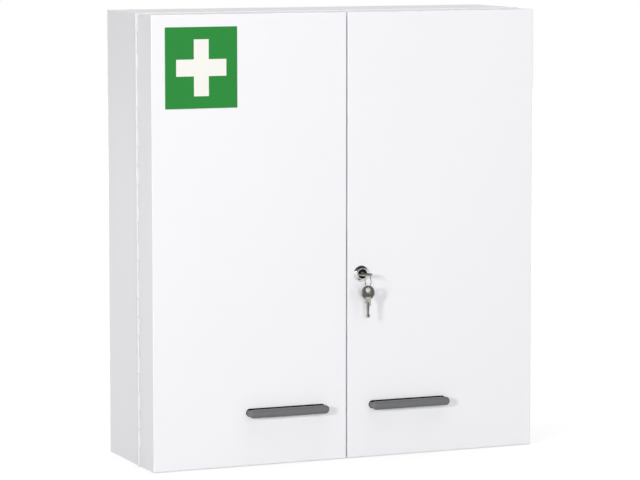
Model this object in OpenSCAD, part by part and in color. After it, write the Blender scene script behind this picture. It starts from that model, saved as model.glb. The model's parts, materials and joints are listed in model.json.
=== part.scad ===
// Double-door steel medicine cabinet of folded sheet, with deep tray doors.
// Millimetres. The front is -Y, the right is +X and up is +Z. The origin is the centre
// of the back face, midway between the four wall holes.

/* [Cabinet body] */
// Width over the side panels
cabinet_w = 550; // [460:10:700]
// Height over the top and bottom panels
cabinet_h = 600; // [480:10:800]
// Depth of the body behind the doors
body_d = 118; // [95:1:200]
// Thickness of the steel sheet
sheet_t = 1; // [0.8:0.1:1.3]
// Width of the return flange round the front opening
front_flange = 18; // [15:1:24]
// Width of the flange that carries the back panel
rear_flange = 12; // [8:1:20]
// Radius of a wall hole
wall_hole_r = 4; // [2.5:0.5:6]
// Distance of the wall holes from the cabinet's edges
wall_hole_inset = 50; // [35:1:80]

/* [Doors] */
// Depth of a door pan
door_d = 53; // [46:1:80]
// Gap between the two doors
centre_gap = 2; // [1.6:0.2:4]
// Step from the ends of the body to the ends of a door
door_inset = 1; // [0.5:0.5:3]
// Width of the return flange round the back of a door
door_flange = 15; // [14:1:20]

/* [Hinges] */
// Radius of a hinge knuckle
knuckle_r = 1.9; // [1.6:0.1:2.4]
// Radius of a hinge pin
hinge_pin_r = 0.95; // [0.7:0.05:1.1]
// Running clearance of the pin in its knuckles
hinge_clear = 0.05; // [0.02:0.01:0.1]
// Height of one knuckle with its split
knuckle_pitch = 25; // [15:1:40]
// Split between two knuckles
knuckle_split = 0.5; // [0.3:0.1:1]
// Distance of the pin outside the side panel
hinge_offset = 1; // [0.8:0.1:2]
// Thickness of a hinge leaf
leaf_t = 0.8; // [0.6:0.1:1]
// Width of a hinge leaf
leaf_w = 12; // [8:1:16]

/* [Handles] */
// Distance between the two screws of a handle
handle_pitch = 96; // [64:1:128]
// Distance from a handle's screw to its end
handle_end = 8.75; // [7:0.25:12]
// Height of a handle's outline
handle_h = 11; // [9:0.5:16]
// Projection of a handle from the door
handle_proj = 17.5; // [16:0.5:30]
// Depth of the bar in front of the finger gap
handle_bar = 6.5; // [5:0.5:9]
// Thickness of the foot plate between a handle and its door
handle_plate = 1.5; // [1:0.25:2.5]
// Height of the two legs between the foot plate and the bar
handle_leg_h = 7; // [5.5:0.5:9]
// Distance from a handle's screw to the finger gap
handle_leg_in = 7; // [4:0.5:10]
// Distance of a handle's middle from the centre line
handle_x = 88.5; // [70:0.5:120]
// Height of a handle above the base
handle_z = 72; // [55:1:120]
// Radius of a handle screw
handle_screw_r = 1.75; // [1.5:0.05:2]

/* [First aid sign] */
// Width of the sign
sign_w = 100; // [80:1:140]
// Height of the sign
sign_h = 106; // [80:1:150]
// Distance of the sign from the cabinet's side
sign_side = 18.7; // [10:0.1:60]
// Distance of the sign from the cabinet's top
sign_top = 17.2; // [10:0.1:60]
// Width of the cross
cross_w = 69.5; // [50:0.5:78]
// Height of the cross
cross_h = 74; // [50:0.5:78]
// Width of the upright arm of the cross
cross_arm_w = 20.6; // [14:0.2:26]
// Height of the level arm of the cross
cross_arm_h = 22; // [14:0.2:26]
// Thickness of the sign
sign_t = 0.4; // [0.2:0.1:1]
// Thickness of the cross
cross_t = 0.2; // [0.1:0.1:1]

/* [Door trays] */
// Height of the lowest tray floor above the door's bottom
tray_base = 28; // [20:1:32]
// Height of a tray's lips
tray_lip = 12; // [8:1:20]
// Distance between the middle tray and the lock case
tray_lock_gap = 23; // [20:1:60]
// Height of a retaining rail above its tray floor
rail_rise = 45; // [30:1:70]
// Radius of a retaining rail
rail_r = 1.5; // [1:0.1:2]

/* [Shelves] */
// Distance between two slots of a shelf upright
slot_pitch = 25; // [20:1:32]
// Height of a slot
slot_h = 4; // [3:0.5:5]
// Width of a slot
slot_w = 8; // [6:0.5:9]
// Width of a shelf upright
upright_w = 14; // [12:1:20]
// Depth of a shelf upright
upright_d = 4; // [3.5:0.5:8]
// Height of a shelf's lips
shelf_lip = 15; // [10:1:25]
// Reach of a shelf clip under its shelf
clip_reach = 14; // [8:1:20]

/* [Slide bolts] */
// Width of a slide bolt
slide_w = 8; // [6:0.5:9]
// Thickness of a slide bolt
slide_t = 3; // [2:0.5:4]
// Length of a slide bolt
slide_l = 56; // [50:1:80]
// Travel of a slide bolt
slide_travel = 12; // [8:1:14]
// Length of a bolt guide
guide_l = 36; // [32:1:44]
// Width of a bolt guide
guide_w = 13; // [12:0.5:14]

/* [Catches] */
// Distance of a magnet catch from the centre line
catch_x = 45; // [38:1:65]
// Width of a magnet catch
catch_w = 32; // [28:1:40]
// Distance of a rubber buffer from the centre line
buffer_x = 100; // [85:1:150]
// Radius of a rubber buffer
buffer_r = 5; // [3:0.5:6]

/* [Lock] */
// Distance of the lock from the free edge of its door
lock_backset = 19.5; // [19:0.5:30]
// Height of the lock above the base
lock_height = 250; // [220:1:330]
// Radius of the lock's bezel
bezel_r = 11; // [10.5:0.5:14]
// Radius of the lock barrel
barrel_r = 9; // [8.5:0.1:9.5]
// Radius of the turning plug
plug_r = 5.5; // [5.3:0.1:6]
// Throw of the dead bolt
bolt_throw = 8; // [6:0.5:8]
// Height of the dead bolt
bolt_h = 20; // [19:0.5:26]
// Thickness of the dead bolt
bolt_t = 3.5; // [2.5:0.5:4]
// Length of the dead bolt
bolt_l = 36; // [34:1:44]

/* [Keys] */
// Radius of a key's bow
bow_r = 9.5; // [8:0.5:12]
// Radius of the hole in a bow
bow_hole_r = 3.45; // [3.2:0.05:4]
// Width of the bridge between the hole and the bow's end
bow_bridge = 2.35; // [1.8:0.05:3]
// Thickness of a key
key_t = 2; // [1.6:0.1:2.4]
// Width of a key's shoulder
key_shoulder_w = 8; // [6.5:0.5:9]
// Length of a key's shoulder
key_shoulder_l = 8; // [5:0.5:9]
// Width of a key's blade
key_blade_w = 4.7; // [4:0.1:5.2]
// Length of a key's blade
key_blade_l = 16; // [12:0.5:17]
// Outer radius of the key ring
ring_r = 10; // [9:0.5:16]
// Radius of the key ring's wire
wire_r = 0.6; // [0.5:0.05:0.7]

/* [Hidden] */
$fn = 64;

left = -1;
right = 1;
// Overshoot of a cut past the faces that it opens
past = 1;
// Gap between faces that stand close without touching
close_gap = 0.2;

// Planes from the wall to the front
seam_edge = 0.1;
seam = 2 * (knuckle_r + seam_edge);
body_front = -body_d;
door_back = body_front - seam;
door_front = door_back - door_d;
door_inner = door_front + sheet_t;
door_flange_in = door_back - sheet_t;
half_w = cabinet_w / 2;
half_h = cabinet_h / 2;
door_half_h = half_h - door_inset;
door_free = centre_gap / 2;

// Hinges
hinge_x = half_w + hinge_offset;
hinge_y = body_front - seam / 2;
knuckle_pairs = round(cabinet_h / knuckle_pitch / 2);
knuckle_step = cabinet_h / knuckle_pairs / 2;
leaf_gap = 0.4;
leaf_relief = knuckle_r + leaf_gap;
leaf_h = cabinet_h - 2 * door_inset;
pin_end_gap = 0.5;

// Handles
handle_gap = handle_proj - handle_bar;
handle_bore_wall = 4;
handle_bore_l = handle_proj - handle_bore_wall;
handle_screw_room = 1;
handle_screw_l = handle_bore_l - handle_screw_room;
handle_screw_clear = 0.05;
handle_head_r = 2 * handle_screw_r;
handle_head_t = 1.2 * handle_screw_r;
door_screw_clear = 0.2;
round_steps = 16;

// Trays and their rails
tray_clear = 0.2;
tray_setback = 3;
tray_back = door_flange_in - tray_setback;
rail_setback = 0.5;
rail_y = tray_back - sheet_t - rail_setback;
lock_x = door_free + lock_backset;
lock_z = lock_height - half_h;
case_wall = 1.2;
slide_clear = 0.3;
case_half_h = bolt_h / 2 + slide_clear + case_wall;
lower_tray_z = -door_half_h + tray_base;
middle_tray_z = lock_z - case_half_h - tray_lock_gap - tray_lip / 2;
upper_tray_z = (middle_tray_z + door_half_h) / 2;

// Shelves and uprights
upright_gap = 2;
upright_half_h = half_h - front_flange - upright_gap;
slot_count = floor(2 * upright_half_h / slot_pitch);
lower_slot = round((slot_count - 1) / 3);
upper_slot = slot_count - 1 - lower_slot;
shelf_setback = 10;
shelf_front = body_front + shelf_setback;
shelf_rear = -8;
upright_inset = 6;
front_upright_y = shelf_front + upright_inset + upright_w / 2;
rear_upright_y = shelf_rear - upright_inset - upright_w / 2;
upright_face = half_w - sheet_t - upright_d;
shelf_end_gap = 1;
shelf_half_w = upright_face - shelf_end_gap;
clip_t = 1.5;
clip_back_h = 12;

// Slide bolts, behind the body's front flange
slide_play = 0.5;
slide_front = body_front + sheet_t + slide_play;
slide_back = slide_front + slide_t;
slide_x = -(door_free + door_flange / 2);
slide_tip_gap = 1;
slide_tip = half_h - front_flange - slide_tip_gap;
guide_clear = 0.25;
guide_wall = 2;
guide_back = slide_back + guide_clear + guide_wall;
slide_nose = 16;
guide_mid = slide_tip - slide_nose - guide_l / 2;
stem_r = 2.5;
knob_r = 4;
knob_t = 3;
guide_screw_r = 1.5;
guide_screw_l = 4.5;
guide_screw_inset = 4;
guide_screw_z = guide_l / 2 - guide_screw_inset;
small_head_t = 1.6;
small_head_r = 2.8;
small_hole_clear = 0.1;

// Magnet catches under the top flange
catch_reach = 12;
catch_low = half_h - front_flange - catch_reach;
catch_depth = 16;
pole_face = door_back + leaf_t + close_gap;
pole_top = half_h - front_flange - close_gap;
strike_inset = 2;
strike_w = catch_w - 2 * strike_inset;
strike_low = catch_low - strike_inset;
strike_top = door_half_h - 2 * strike_inset;
catch_screw_r = 1.5;
catch_screw_l = 6;
catch_screw_inset = 6;
catch_screw_dx = catch_w / 2 - catch_screw_inset;
flange_mid = half_h - front_flange / 2;

// Lock, from the front to the back
bezel_t = 3;
bezel_edge = 1;
bezel_slope = 2.2;
collar_wall = 1.8;
collar_r = plug_r + collar_wall;
collar_t = 4.8;
collar_foot = 0.5;
collar_round = 0.4;
plug_clear = 0.08;
plug_recess = 0.2;
plug_face = door_front - collar_t + plug_recess;
barrel_l = 24;
barrel_end = door_front + barrel_l;
running_gap = 0.3;
plug_end = barrel_end + running_gap;
follower_t = 1.5;
follower_end = plug_end + follower_t;
bolt_gap = 0.4;
bolt_front = follower_end + bolt_gap;
bolt_back = bolt_front + bolt_t;
crank_r = bolt_throw / sqrt(2);
crank_pin_r = 1.5;
crank_angle = 45;
follower_rim = 0.8;
follower_r = crank_r + crank_pin_r + follower_rim;
crank_slot_clear = 0.35;
barrel_hole_clear = 0.3;
case_seat = 2.5;
case_front = barrel_end - case_seat;
case_back = bolt_back + slide_clear;
case_cover_t = 1.2;
case_ear = 8.5;
case_flange_half_h = case_half_h + case_ear;
case_flange_lip = 2.5;
bolt_tip = door_free + close_gap;
bolt_tail = bolt_tip + bolt_l;
case_end_gap = 1.8;
case_end = bolt_tail + case_end_gap + case_wall;
rivet_r = 1.5;
rivet_inset = 4.2;
rivet_z = case_flange_half_h - rivet_inset;
rivet_head_r = 2.8;
rivet_head_t = 0.5;
strike_slot_clear = 1.5;
nut_wall = 5;
nut_r = barrel_r + nut_wall;
nut_t = 4;
nut_clear = 0.05;

// Keys and their ring
bow_gap = 0.4;
bow_near = door_front - collar_t - bow_gap;
bow_y = bow_near - bow_r;
bow_far = bow_near - 2 * bow_r;
hole_offset = bow_r - bow_bridge - bow_hole_r;
key_shoulder_in = 1.5;
key_bit_step = 0.9;
key_bit_w = key_blade_w + key_bit_step;
key_bit_l = 4;
key_fit = 0.15;
key_cuts = 4;
key_cut_d = 0.8;
ring_mid_r = ring_r - wire_r;
ring_in_r = ring_r - 2 * wire_r;
ring_gap = 0.3;
ring_y = bow_far + bow_bridge / 2;
ring_z = key_t / 2 + ring_gap - ring_in_r;
spare_hole_z = ring_z - ring_in_r + ring_gap - bow_hole_r;

// Box between two corners
module block(low, high) {
    translate(low) cube(high - low);
}

// Rod along X, between two planes, through the point (y, z)
module x_rod(r, x0, x1, y, z) {
    translate([x0, y, z]) rotate([0, 90, 0]) cylinder(r = r, h = x1 - x0);
}

// Rod along Y, between two planes, through the point (x, z)
module y_rod(r, y0, y1, x, z) {
    translate([x, y0, z]) rotate([-90, 0, 0]) cylinder(r = r, h = y1 - y0);
}

// Shapes are drawn on the right; on the left they are mirrored
module on_side(side) {
    if (side < 0) {
        mirror([1, 0, 0]) children();
    } else {
        children();
    }
}

// Shapes are drawn at the top; at the bottom they are mirrored
module on_end(end) {
    if (end < 0) {
        mirror([0, 0, 1]) children();
    } else {
        children();
    }
}

// Side panel with its front return and its rear flange
module side_panel(side) {
    flange_half_h = half_h - sheet_t;
    on_side(side) {
        block([half_w - sheet_t, body_front, -half_h], [half_w, -sheet_t, half_h]);
        block([half_w - front_flange, body_front, -flange_half_h],
              [half_w, body_front + sheet_t, flange_half_h]);
        block([half_w - rear_flange, -2 * sheet_t, -flange_half_h],
              [half_w, -sheet_t, flange_half_h]);
    }
}

// Top or bottom panel, between the side panels
module end_panel(end) {
    end_half_w = half_w - sheet_t;
    on_end(end) {
        block([-end_half_w, body_front, half_h - sheet_t], [end_half_w, -sheet_t, half_h]);
        block([-half_w + front_flange, body_front, half_h - front_flange],
              [half_w - front_flange, body_front + sheet_t, half_h]);
        block([-half_w + rear_flange, -2 * sheet_t, half_h - rear_flange],
              [half_w - rear_flange, -sheet_t, half_h]);
    }
}

module left_side_panel() {
    color("gainsboro") side_panel(left);
}

module right_side_panel() {
    color("gainsboro") side_panel(right);
}

// The top flange is drilled for the screws of the catches
module top_panel() {
    color("gainsboro") difference() {
        end_panel(1);
        for (side = [left, right], dx = [-1, 1]) {
            y_rod(catch_screw_r + small_hole_clear, body_front - past, body_front + sheet_t + past,
                  side * catch_x + dx * catch_screw_dx, flange_mid);
        }
    }
}

module bottom_panel() {
    color("gainsboro") end_panel(-1);
}

module back_panel() {
    color("gainsboro") difference() {
        block([-half_w, -sheet_t, -half_h], [half_w, 0, half_h]);
        for (sx = [-1, 1], sz = [-1, 1]) {
            y_rod(wall_hole_r, -sheet_t - past, past,
                  sx * (half_w - wall_hole_inset), sz * (half_h - wall_hole_inset));
        }
    }
}

// Height of the middle of a slot
function slot_z(i) = (i - (slot_count - 1) / 2) * slot_pitch;

// One slotted channel, open towards the side panel
module shelf_upright(y) {
    difference() {
        block([upright_face, y - upright_w / 2, -upright_half_h],
              [upright_face + upright_d, y + upright_w / 2, upright_half_h]);
        block([upright_face + sheet_t, y - upright_w / 2 + sheet_t, -upright_half_h - past],
              [upright_face + upright_d + past, y + upright_w / 2 - sheet_t, upright_half_h + past]);
        for (i = [0 : slot_count - 1]) {
            block([upright_face - past, y - slot_w / 2, slot_z(i) - slot_h / 2],
                  [upright_face + sheet_t + past, y + slot_w / 2, slot_z(i) + slot_h / 2]);
        }
    }
}

module left_shelf_uprights() {
    color("silver") on_side(left) {
        shelf_upright(front_upright_y);
        shelf_upright(rear_upright_y);
    }
}

module right_shelf_uprights() {
    color("silver") on_side(right) {
        shelf_upright(front_upright_y);
        shelf_upright(rear_upright_y);
    }
}

// Sheet shelf with a lip turned down at the front and at the back
module shelf(slot) {
    shelf_z = slot_z(slot) + clip_t / 2;
    lip_z = shelf_z + sheet_t - shelf_lip;
    block([-shelf_half_w, shelf_front, shelf_z], [shelf_half_w, shelf_rear, shelf_z + sheet_t]);
    block([-shelf_half_w, shelf_front, lip_z],
          [shelf_half_w, shelf_front + sheet_t, shelf_z + sheet_t]);
    block([-shelf_half_w, shelf_rear - sheet_t, lip_z],
          [shelf_half_w, shelf_rear, shelf_z + sheet_t]);
}

// Clip with a tongue in the slot, a back on the upright and a ledge under the shelf
module shelf_clip(slot, y) {
    tongue_half_w = slot_w / 2 - close_gap;
    translate([upright_face, y, slot_z(slot)]) {
        block([-clip_reach, -tongue_half_w, -clip_t / 2],
              [upright_d - sheet_t, tongue_half_w, clip_t / 2]);
        block([-clip_t, -tongue_half_w, -clip_back_h], [0, tongue_half_w, clip_t / 2]);
    }
}

// The four clips of one shelf
module shelf_clips(slot) {
    for (side = [left, right], y = [front_upright_y, rear_upright_y]) {
        on_side(side) shelf_clip(slot, y);
    }
}

module lower_shelf() {
    color("whitesmoke") shelf(lower_slot);
}

module upper_shelf() {
    color("whitesmoke") shelf(upper_slot);
}

module lower_shelf_clips() {
    color("silver") shelf_clips(lower_slot);
}

module upper_shelf_clips() {
    color("silver") shelf_clips(upper_slot);
}

// One leaf of a continuous hinge: a strip on its flange, and every second knuckle.
// phase 0 takes the lowest knuckle, and facing is +1 for the strip on the body.
module hinge_leaf(side, phase, facing) {
    strip_y = hinge_y + facing * seam / 2;
    leaf_low = min(strip_y, strip_y - facing * leaf_t);
    leaf_high = max(strip_y, strip_y - facing * leaf_t);
    on_side(side) difference() {
        union() {
            block([hinge_x - leaf_relief - leaf_w, leaf_low, -leaf_h / 2],
                  [hinge_x - leaf_relief, leaf_high, leaf_h / 2]);
            for (i = [phase : 2 : 2 * knuckle_pairs - 1]) {
                low = -half_h + i * knuckle_step + knuckle_split / 2;
                high = low + knuckle_step - knuckle_split;
                tab_low = max(low, -leaf_h / 2);
                tab_high = min(high, leaf_h / 2);
                translate([hinge_x, hinge_y, low]) cylinder(r = knuckle_r, h = high - low);
                block([hinge_x - leaf_relief - past, leaf_low, tab_low],
                      [hinge_x, leaf_high, tab_high]);
            }
        }
        translate([hinge_x, hinge_y, -half_h - past])
            cylinder(r = hinge_pin_r + hinge_clear, h = cabinet_h + 2 * past);
    }
}

module hinge_pin(side) {
    on_side(side) translate([hinge_x, hinge_y, -half_h + pin_end_gap])
        cylinder(r = hinge_pin_r, h = cabinet_h - 2 * pin_end_gap);
}

module left_hinge_frame_leaf() {
    color("whitesmoke") hinge_leaf(left, 0, 1);
}

module right_hinge_frame_leaf() {
    color("whitesmoke") hinge_leaf(right, 0, 1);
}

module left_hinge_door_leaf() {
    color("whitesmoke") hinge_leaf(left, 1, -1);
}

module right_hinge_door_leaf() {
    color("whitesmoke") hinge_leaf(right, 1, -1);
}

module left_hinge_pin() {
    color("silver") hinge_pin(left);
}

module right_hinge_pin() {
    color("silver") hinge_pin(right);
}

// Magnet catch behind the top flange, with its poles reaching forward below the flange
module magnet_catch(side) {
    catch_rear = body_front + sheet_t + catch_depth;
    on_side(side) difference() {
        union() {
            block([catch_x - catch_w / 2, body_front + sheet_t, catch_low],
                  [catch_x + catch_w / 2, catch_rear, half_h - sheet_t]);
            block([catch_x - catch_w / 2, pole_face, catch_low],
                  [catch_x + catch_w / 2, body_front + sheet_t + past, pole_top]);
        }
        for (dx = [-1, 1]) {
            y_rod(catch_screw_r + hinge_clear, body_front, body_front + sheet_t + catch_screw_l + past,
                  catch_x + dx * catch_screw_dx, flange_mid);
        }
    }
}

module left_magnet_catch() {
    color("dimgray") magnet_catch(left);
}

module right_magnet_catch() {
    color("dimgray") magnet_catch(right);
}

// Screws through the top flange into the two catches
module catch_screws() {
    color("silver") for (side = [left, right], dx = [-1, 1]) {
        screw_x = side * catch_x + dx * catch_screw_dx;
        y_rod(small_head_r, body_front - small_head_t, body_front, screw_x, flange_mid);
        y_rod(catch_screw_r, body_front - past, body_front + sheet_t + catch_screw_l,
              screw_x, flange_mid);
    }
}

// Rubber buffers on the front flange, two for each door
module door_buffers() {
    color("black") for (side = [left, right], end = [-1, 1]) {
        y_rod(buffer_r, door_back + close_gap, body_front, side * buffer_x, end * flange_mid);
    }
}

// Door pan: front sheet, four walls and a return flange round the open back
module door_pan() {
    wall_x = half_w - sheet_t;
    wall_z = door_half_h - sheet_t;
    difference() {
        block([door_free, door_front, -door_half_h], [half_w, door_back, door_half_h]);
        block([door_free + sheet_t, door_inner, -wall_z], [wall_x, door_flange_in, wall_z]);
        block([door_free + door_flange, door_inner, -door_half_h + door_flange],
              [half_w - door_flange, door_back + past, door_half_h - door_flange]);
        for (dx = [-1, 1]) {
            y_rod(handle_screw_r + door_screw_clear, door_front - past, door_inner + past,
                  handle_x + dx * handle_pitch / 2, handle_z - half_h);
        }
        bolt_slot(door_free - past, door_free + sheet_t + past);
    }
}

// Slot that lets the dead bolt through, between two planes across X
module bolt_slot(x0, x1) {
    slot_half_h = bolt_h / 2 + strike_slot_clear;
    block([x0, bolt_front - strike_slot_clear, lock_z - slot_half_h],
          [x1, bolt_back + strike_slot_clear, lock_z + slot_half_h]);
}

// The left pan is drilled for the screws of the two bolt guides
module left_door_panel() {
    color("white") difference() {
        on_side(left) door_pan();
        for (end = [-1, 1], dz = [-1, 1]) {
            y_rod(guide_screw_r + small_hole_clear, door_flange_in - past, door_back + past,
                  slide_x, end * (guide_mid + dz * guide_screw_z));
        }
    }
}

// The right pan is drilled for the lock barrel and for the rivets of the lock case
module right_door_panel() {
    color("white") difference() {
        door_pan();
        y_rod(barrel_r + small_hole_clear, door_front - past, door_inner + past, lock_x, lock_z);
        for (dz = [-1, 1]) {
            x_rod(rivet_r + hinge_clear, door_free - past, door_free + sheet_t + past,
                  rivet_y(), lock_z + dz * rivet_z);
        }
    }
}

// Depth of the rivets, in the middle of the dead bolt
function rivet_y() = (bolt_front + bolt_back) / 2;

// Points of an outline with straight sides and round ends
function stadium(length, width) = [
    for (end = [0, 1], i = [0 : round_steps])
        let (turn = 180 * end - 90 + 180 * i / round_steps, reach = (length - width) / 2)
        [(end == 0 ? reach : -reach) + width / 2 * cos(turn), width / 2 * sin(turn)]
];

// Bow handle: a foot plate and a bar, joined by two lower legs that have a blind bore each
module handle(side) {
    handle_l = handle_pitch + 2 * handle_end;
    gap_half_l = handle_pitch / 2 - handle_leg_in;
    translate([side * handle_x, door_front, handle_z - half_h]) difference() {
        rotate([90, 0, 0]) linear_extrude(height = handle_proj) polygon(stadium(handle_l, handle_h));
        block([-gap_half_l, -handle_gap, -handle_h], [gap_half_l, -handle_plate, handle_h]);
        for (top = [-1, 1]) {
            on_end(top) block([-handle_l, -handle_gap, handle_leg_h / 2],
                              [handle_l, -handle_plate, handle_h]);
        }
        for (dx = [-1, 1]) {
            y_rod(handle_screw_r + handle_screw_clear, -handle_bore_l, past,
                  dx * handle_pitch / 2, 0);
        }
    }
}

// Two pan-head screws from inside the door
module handle_screws(side) {
    for (dx = [-1, 1]) {
        translate([side * handle_x + dx * handle_pitch / 2, 0, handle_z - half_h]) {
            y_rod(handle_head_r, door_inner, door_inner + handle_head_t, 0, 0);
            y_rod(handle_screw_r, door_front - handle_screw_l, door_inner + past, 0, 0);
        }
    }
}

module left_handle() {
    color("dimgray") handle(left);
}

module right_handle() {
    color("dimgray") handle(right);
}

module left_handle_screws() {
    color("silver") handle_screws(left);
}

module right_handle_screws() {
    color("silver") handle_screws(right);
}

// Green plate of the sign, on the left door
module first_aid_sign() {
    color("forestgreen") block([sign_side - half_w, door_front - sign_t, half_h - sign_top - sign_h],
                               [sign_side - half_w + sign_w, door_front, half_h - sign_top]);
}

// White cross in the middle of the green plate
module sign_cross() {
    color("white") translate([sign_side - half_w + sign_w / 2, door_front - sign_t,
                              half_h - sign_top - sign_h / 2]) {
        block([-cross_arm_w / 2, -cross_t, -cross_h / 2], [cross_arm_w / 2, 0, cross_h / 2]);
        block([-cross_w / 2, -cross_t, -cross_arm_h / 2], [cross_w / 2, 0, cross_arm_h / 2]);
    }
}

// Tray between the walls of a door, with a lip at its front and at its back
module tray(side, floor_z) {
    x0 = door_free + sheet_t + tray_clear;
    x1 = half_w - sheet_t - tray_clear;
    y0 = door_inner + tray_clear;
    on_side(side) {
        block([x0, y0, floor_z], [x1, tray_back, floor_z + sheet_t]);
        block([x0, y0, floor_z], [x1, y0 + sheet_t, floor_z + tray_lip]);
        block([x0, tray_back - sheet_t, floor_z], [x1, tray_back, floor_z + tray_lip]);
    }
}

// Wire rail that keeps bottles in a tray
module tray_rail(side, floor_z) {
    on_side(side) x_rod(rail_r, door_free + sheet_t + tray_clear, half_w - sheet_t - tray_clear,
                        rail_y, floor_z + rail_rise);
}

module left_lower_tray() {
    color("whitesmoke") tray(left, lower_tray_z);
}

module left_middle_tray() {
    color("whitesmoke") tray(left, middle_tray_z);
}

module left_upper_tray() {
    color("whitesmoke") tray(left, upper_tray_z);
}

module right_lower_tray() {
    color("whitesmoke") tray(right, lower_tray_z);
}

module right_middle_tray() {
    color("whitesmoke") tray(right, middle_tray_z);
}

module right_upper_tray() {
    color("whitesmoke") tray(right, upper_tray_z);
}

module left_lower_rail() {
    color("silver") tray_rail(left, lower_tray_z);
}

module left_middle_rail() {
    color("silver") tray_rail(left, middle_tray_z);
}

module left_upper_rail() {
    color("silver") tray_rail(left, upper_tray_z);
}

module right_lower_rail() {
    color("silver") tray_rail(right, lower_tray_z);
}

module right_middle_rail() {
    color("silver") tray_rail(right, middle_tray_z);
}

module right_upper_rail() {
    color("silver") tray_rail(right, upper_tray_z);
}

// Steel plate on the door's top flange, held by the poles of the magnet catch
module strike_plate(side) {
    on_side(side) block([catch_x - strike_w / 2, door_back, strike_low],
                        [catch_x + strike_w / 2, door_back + leaf_t, strike_top]);
}

module left_strike_plate() {
    color("silver") strike_plate(left);
}

module right_strike_plate() {
    color("silver") strike_plate(right);
}

// Housing of a slide bolt: a channel for the bolt, a slot for its stem and two screw bores
module bolt_guide(end) {
    channel_half_w = slide_w / 2 + guide_clear;
    stem_half_w = stem_r + guide_clear;
    stem_half_l = slide_travel / 2 + stem_half_w;
    on_end(end) translate([slide_x, 0, guide_mid]) difference() {
        block([-guide_w / 2, door_back, -guide_l / 2], [guide_w / 2, guide_back, guide_l / 2]);
        block([-channel_half_w, slide_front - guide_clear, -guide_l / 2 - past],
              [channel_half_w, slide_back + guide_clear, guide_l / 2 + past]);
        block([-stem_half_w, slide_back, -stem_half_l], [stem_half_w, guide_back + past, stem_half_l]);
        for (dz = [-1, 1]) {
            y_rod(guide_screw_r + hinge_clear, door_back - past, door_back + guide_screw_l,
                  0, dz * guide_screw_z);
        }
    }
}

// Flat bolt with a knob on a stem, drawn back clear of the flange
module slide_bolt(end) {
    on_end(end) translate([slide_x, 0, 0]) {
        block([-slide_w / 2, slide_front, slide_tip - slide_l], [slide_w / 2, slide_back, slide_tip]);
        y_rod(stem_r, slide_back - past, guide_back + guide_clear + knob_t / 2,
              0, guide_mid - slide_travel / 2);
        y_rod(knob_r, guide_back + guide_clear, guide_back + guide_clear + knob_t,
              0, guide_mid - slide_travel / 2);
    }
}

module upper_bolt_guide() {
    color("gray") bolt_guide(1);
}

module lower_bolt_guide() {
    color("gray") bolt_guide(-1);
}

module upper_slide_bolt() {
    color("silver") slide_bolt(1);
}

module lower_slide_bolt() {
    color("silver") slide_bolt(-1);
}

// Screws through the door's back flange into the two bolt guides
module guide_screws() {
    color("silver") for (end = [-1, 1], dz = [-1, 1]) {
        screw_z = end * (guide_mid + dz * guide_screw_z);
        y_rod(small_head_r, door_flange_in - small_head_t, door_flange_in, slide_x, screw_z);
        y_rod(guide_screw_r, door_flange_in - past, door_back + guide_screw_l - close_gap,
              slide_x, screw_z);
    }
}

// Cast case on the inside of the door's free edge, with the channel of the dead bolt
module lock_case() {
    flange_x = door_free + sheet_t;
    channel_half_h = bolt_h / 2 + slide_clear;
    color("gray") difference() {
        union() {
            block([flange_x, case_front, lock_z - case_half_h],
                  [case_end, case_back, lock_z + case_half_h]);
            block([flange_x, case_front - case_flange_lip, lock_z - case_flange_half_h],
                  [flange_x + case_wall, case_back + case_flange_lip, lock_z + case_flange_half_h]);
        }
        block([flange_x - past, bolt_front - slide_clear, lock_z - channel_half_h],
              [case_end - case_wall, case_back, lock_z + channel_half_h]);
        block([flange_x + case_wall, bolt_front - slide_clear, lock_z - channel_half_h],
              [case_end - case_wall, case_back + past, lock_z + channel_half_h]);
        y_rod(barrel_r + barrel_hole_clear, case_front - past, bolt_front, lock_x, lock_z);
        for (dz = [-1, 1]) {
            x_rod(rivet_r + hinge_clear, flange_x - past, flange_x + case_wall + past,
                  rivet_y(), lock_z + dz * rivet_z);
        }
    }
}

module lock_case_cover() {
    color("silver") block([door_free + sheet_t + case_wall, case_back, lock_z - case_half_h],
                          [case_end, case_back + case_cover_t, lock_z + case_half_h]);
}

// Rivets that hold the lock case to the door's edge
module lock_case_rivets() {
    rivet_in = door_free + sheet_t + case_wall;
    color("silver") for (dz = [-1, 1]) {
        rivet_at = lock_z + dz * rivet_z;
        x_rod(rivet_head_r, door_free - rivet_head_t, door_free, rivet_y(), rivet_at);
        x_rod(rivet_r, door_free - rivet_head_t / 2, rivet_in + rivet_head_t / 2,
              rivet_y(), rivet_at);
        x_rod(rivet_head_r, rivet_in, rivet_in + rivet_head_t, rivet_y(), rivet_at);
    }
}

// Turned barrel: domed bezel and collar outside the door, a plain length inside
module lock_barrel() {
    color("silver") translate([lock_x, door_front, lock_z]) difference() {
        rotate([90, 0, 0]) rotate_extrude() polygon([
            [0, -barrel_l],
            [barrel_r, -barrel_l],
            [barrel_r, 0],
            [bezel_r, 0],
            [bezel_r, 0.4 * bezel_t],
            [bezel_r - bezel_edge, 0.8 * bezel_t],
            [bezel_r - bezel_slope, bezel_t],
            [collar_r + collar_foot, bezel_t],
            [collar_r, collar_t - collar_round],
            [collar_r - collar_round, collar_t],
            [0, collar_t]
        ]);
        y_rod(plug_r + plug_clear, -collar_t - past, barrel_l + past, 0, 0);
    }
}

module lock_nut() {
    color("silver") difference() {
        translate([lock_x, door_inner, lock_z]) rotate([-90, 0, 0])
            cylinder(r = nut_r, h = nut_t, $fn = 6);
        y_rod(barrel_r + nut_clear, door_inner - past, door_inner + nut_t + past, lock_x, lock_z);
    }
}

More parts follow.
